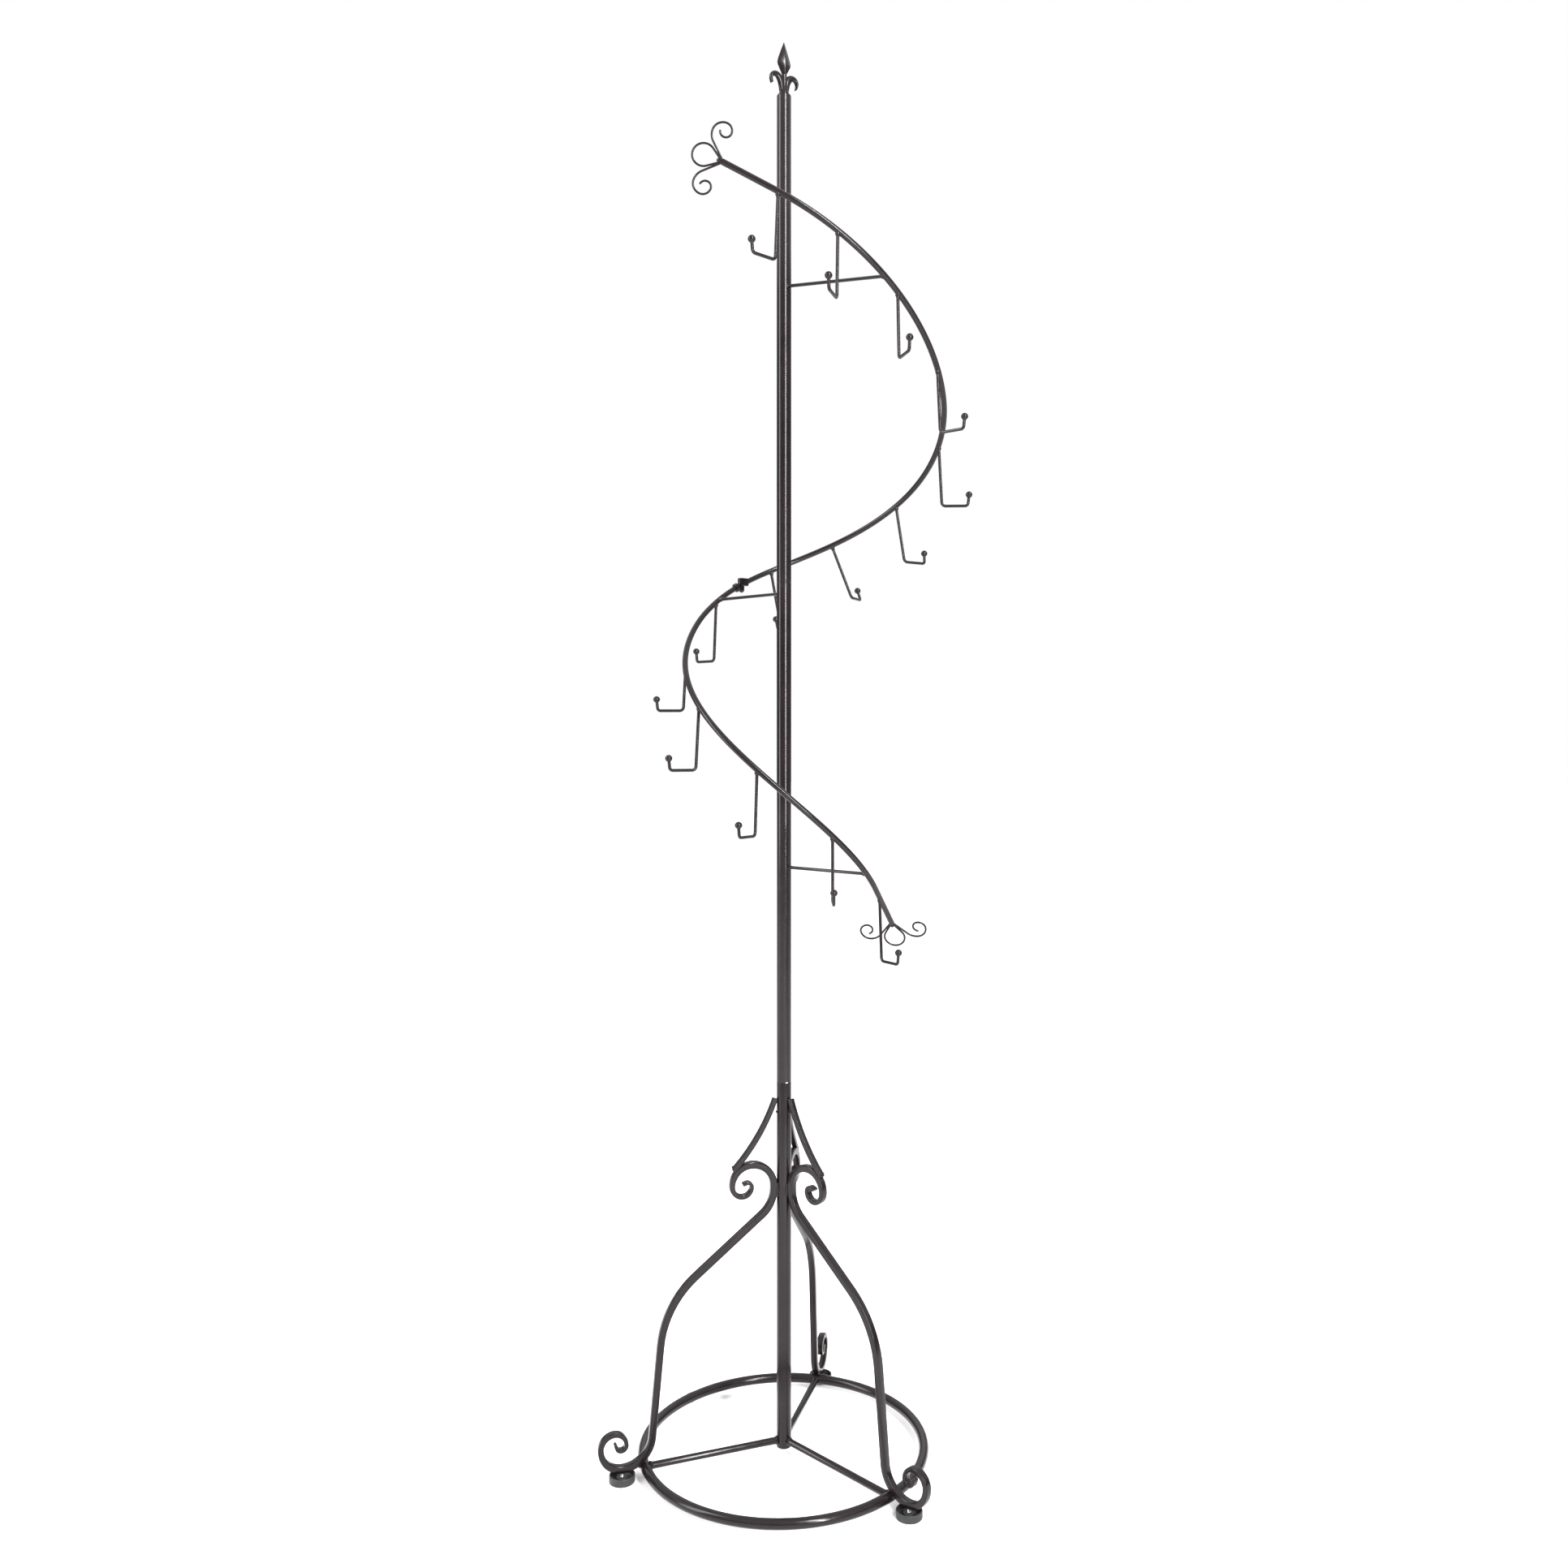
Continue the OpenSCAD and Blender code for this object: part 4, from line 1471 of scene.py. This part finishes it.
@dataclass
class Ornament(Assembly):
    """A teardrop loop between two curls, at one end of the spiral rod."""

    line: SpiralLine
    end: str
    turns: float
    way: int
    roll: float
    tilt: float = 0.0
    wire: float = 2.4
    loop_r: float = 12.5
    loop_out: float = 21.5
    curl_r: float = 8.2

    def place(self) -> Matrix:
        """Returns where the ornament stands, its plane being the pattern's XZ plane."""
        return self.line.end_place(self.turns, self.way, self.roll, self.tilt) @ turn(-90, "X")

    def eased(self, marks: list[Mark]) -> list[Mark]:
        """Rounds off the far end of a wire.

        Args:
            marks: The wire's marks.

        Returns:
            The marks with the rounded end added.
        """
        last = marks[-1]
        cap = [Run(0, 0.55 * self.wire / 2).after(last, 1, self.wire * 0.85)]
        cap.append(Run(0, 0.95 * self.wire / 2).after(last, 1, self.wire * 0.35))
        return marks + cap

    def loop(self) -> bpy.types.Object:
        """Bends the teardrop, with the blob of weld at its root.

        Returns:
            The loop.
        """
        opening = math.degrees(math.asin(self.loop_r / self.loop_out))
        side = self.loop_out * math.cos(math.radians(opening))
        start = Mark(0.8, -self.wire * 0.2, -opening, self.wire)
        runs = [Run(0, side - 0.8), Run(self.loop_r, 180 + 2 * opening), Run(0, side - self.wire)]
        places = flat_stations(trace(start, runs, self.wire, 6))
        wire = sweep(f"{self.end}_teardrop", Section.ROUND, places, 14)
        blob = weld_bead(Vector((-2.2, 0, 0)), Vector((6.5, 0, 0)), 2.9, 3)
        return put(merge(wire, blob), self.place())

    def curl(self, name: str, side: int) -> bpy.types.Object:
        """Bends one curl.

        Args:
            name: Name of the piece.
            side: 1 for the curl on the left of the way out, -1 for the right.

        Returns:
            The curl.
        """
        start = Mark(0.9, side * self.wire * 0.9, side * 43, self.wire)
        bends = ((2, 47), (1.45, 90), (1.1, 90), (0.78, 90), (0.8, 75))
        runs = [Run(0, 22), *(Run(side * self.curl_r * size, degrees) for size, degrees in bends)]
        marks = self.eased(trace(start, runs, self.wire, 6))
        return put(sweep(name, Section.ROUND, flat_stations(marks), 14), self.place())

    def pieces(self) -> Iterator[tuple[bpy.types.Object, str]]:
        """Yields the loop and the two curls.

        Returns:
            Each piece in turn, with its CAD node.
        """
        yield self.loop(), f"{self.end}_loop"
        yield self.curl(f"{self.end}_curl_left", 1), f"{self.end}_curl_a"
        yield self.curl(f"{self.end}_curl_right", -1), f"{self.end}_curl_b"


# ---------------------------------------------------------------- the studio


@dataclass
class Studio:
    """A white floor, soft light from both sides, and the camera. Metres."""

    camera_at: tuple[float, float, float] = (0.064, -1.655, 0.874)
    lens: float = 30.84
    shift: tuple[float, float] = (-0.0331, -0.0248)
    floor_r: float = 30.0
    floor_z: float = -0.0002
    sky_power: float = 2.6
    sky_angle: float = 140.0
    room: float = 0.35

    def floor(self) -> None:
        """Lays the floor."""
        bpy.ops.object.select_all(action="DESELECT")
        bpy.ops.mesh.primitive_circle_add(
            vertices=96, radius=self.floor_r, fill_type="NGON", location=(0, 0, self.floor_z)
        )
        floor = bpy.context.object
        floor.name = "studio_floor"
        nodes = Nodes("studio_white")
        nodes.blend(nodes.noise(0.6, 2), (0.985, 0.985, 0.985), (0.995, 0.995, 0.995), (0.3, 0.7))
        nodes.settings(Roughness=0.9, Specular_IOR_Level=0.0)
        floor.data.materials.append(nodes.material)

    def light(self, name: str, at: Sequence[float], size: Sequence[float], power: float) -> None:
        """Hangs one soft panel that faces the middle of the tree.

        Args:
            name: Name of the panel.
            at: Its place.
            size: Its width and height.
            power: Its power in watts.
        """
        bpy.ops.object.light_add(type="AREA", location=at)
        lamp = bpy.context.object
        lamp.name = name
        lamp.data.shape = "RECTANGLE"
        lamp.data.size, lamp.data.size_y = size
        lamp.data.energy = power
        aim = Vector((0, 0, 0.87)) - Vector(at)
        lamp.rotation_euler = aim.to_track_quat("-Z", "Y").to_euler()

    def world(self) -> None:
        """Makes the room white to look at, and dimmer in what it lights."""
        world = bpy.context.scene.world or bpy.data.worlds.new("studio")
        bpy.context.scene.world = world
        world.use_nodes = True
        nodes, links = world.node_tree.nodes, world.node_tree.links
        nodes["Background"].inputs["Color"].default_value = (1, 1, 1, 1)
        level = nodes.new("ShaderNodeMapRange")
        level.inputs["To Min"].default_value = self.room
        level.inputs["To Max"].default_value = 1.0
        links.new(nodes.new("ShaderNodeLightPath").outputs["Is Camera Ray"], level.inputs["Value"])
        links.new(level.outputs["Result"], nodes["Background"].inputs["Strength"])

    def build(self) -> None:
        """Sets up the floor, the light and the camera."""
        self.floor()
        self.world()
        self.light("left_panel", (-2.6, -1.0, 1.9), (0.9, 3.2), 90)
        self.light("right_strip", (1.25, -2.17, 2.0), (0.24, 2.8), 170)
        bpy.ops.object.light_add(type="SUN", location=(0, 0, 4))
        sky = bpy.context.object
        sky.name, sky.data.energy, sky.data.angle = "sky_light", self.sky_power, math.radians(self.sky_angle)
        bpy.ops.object.camera_add(location=self.camera_at, rotation=(math.radians(90), 0, 0))
        camera = bpy.context.object
        camera.data.lens = self.lens
        camera.data.sensor_width = 36
        camera.data.shift_x, camera.data.shift_y = self.shift
        bpy.context.scene.camera = camera
        bpy.context.scene.view_settings.view_transform = "Standard"


def main() -> None:
    """Builds the mug tree and the studio round it."""
    logging.basicConfig(level=logging.INFO, format="%(name)s: %(message)s")
    finisher = Finisher()
    pole = Pole()
    line = SpiralLine(seam_z=pole.seam_high)
    pole.build(finisher)
    for node in PLAIN_NODES:
        finisher.coat(node)
    Finial(foot_z=pole.top).build(finisher)
    Base(pole_r=pole.radius, seam_z=pole.seam_low).build(finisher)
    SpiralRod(line).build(finisher)
    TieRods(line, pole_r=pole.radius).build(finisher)
    Hooks(line).build(finisher)
    Ornament(line, "top", -line.lead_in, -1, 90, 7).build(finisher)
    Ornament(line, "low", line.end, 1, -10, 20).build(finisher)
    Studio().build()
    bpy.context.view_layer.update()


if __name__ == "__main__":
    main()
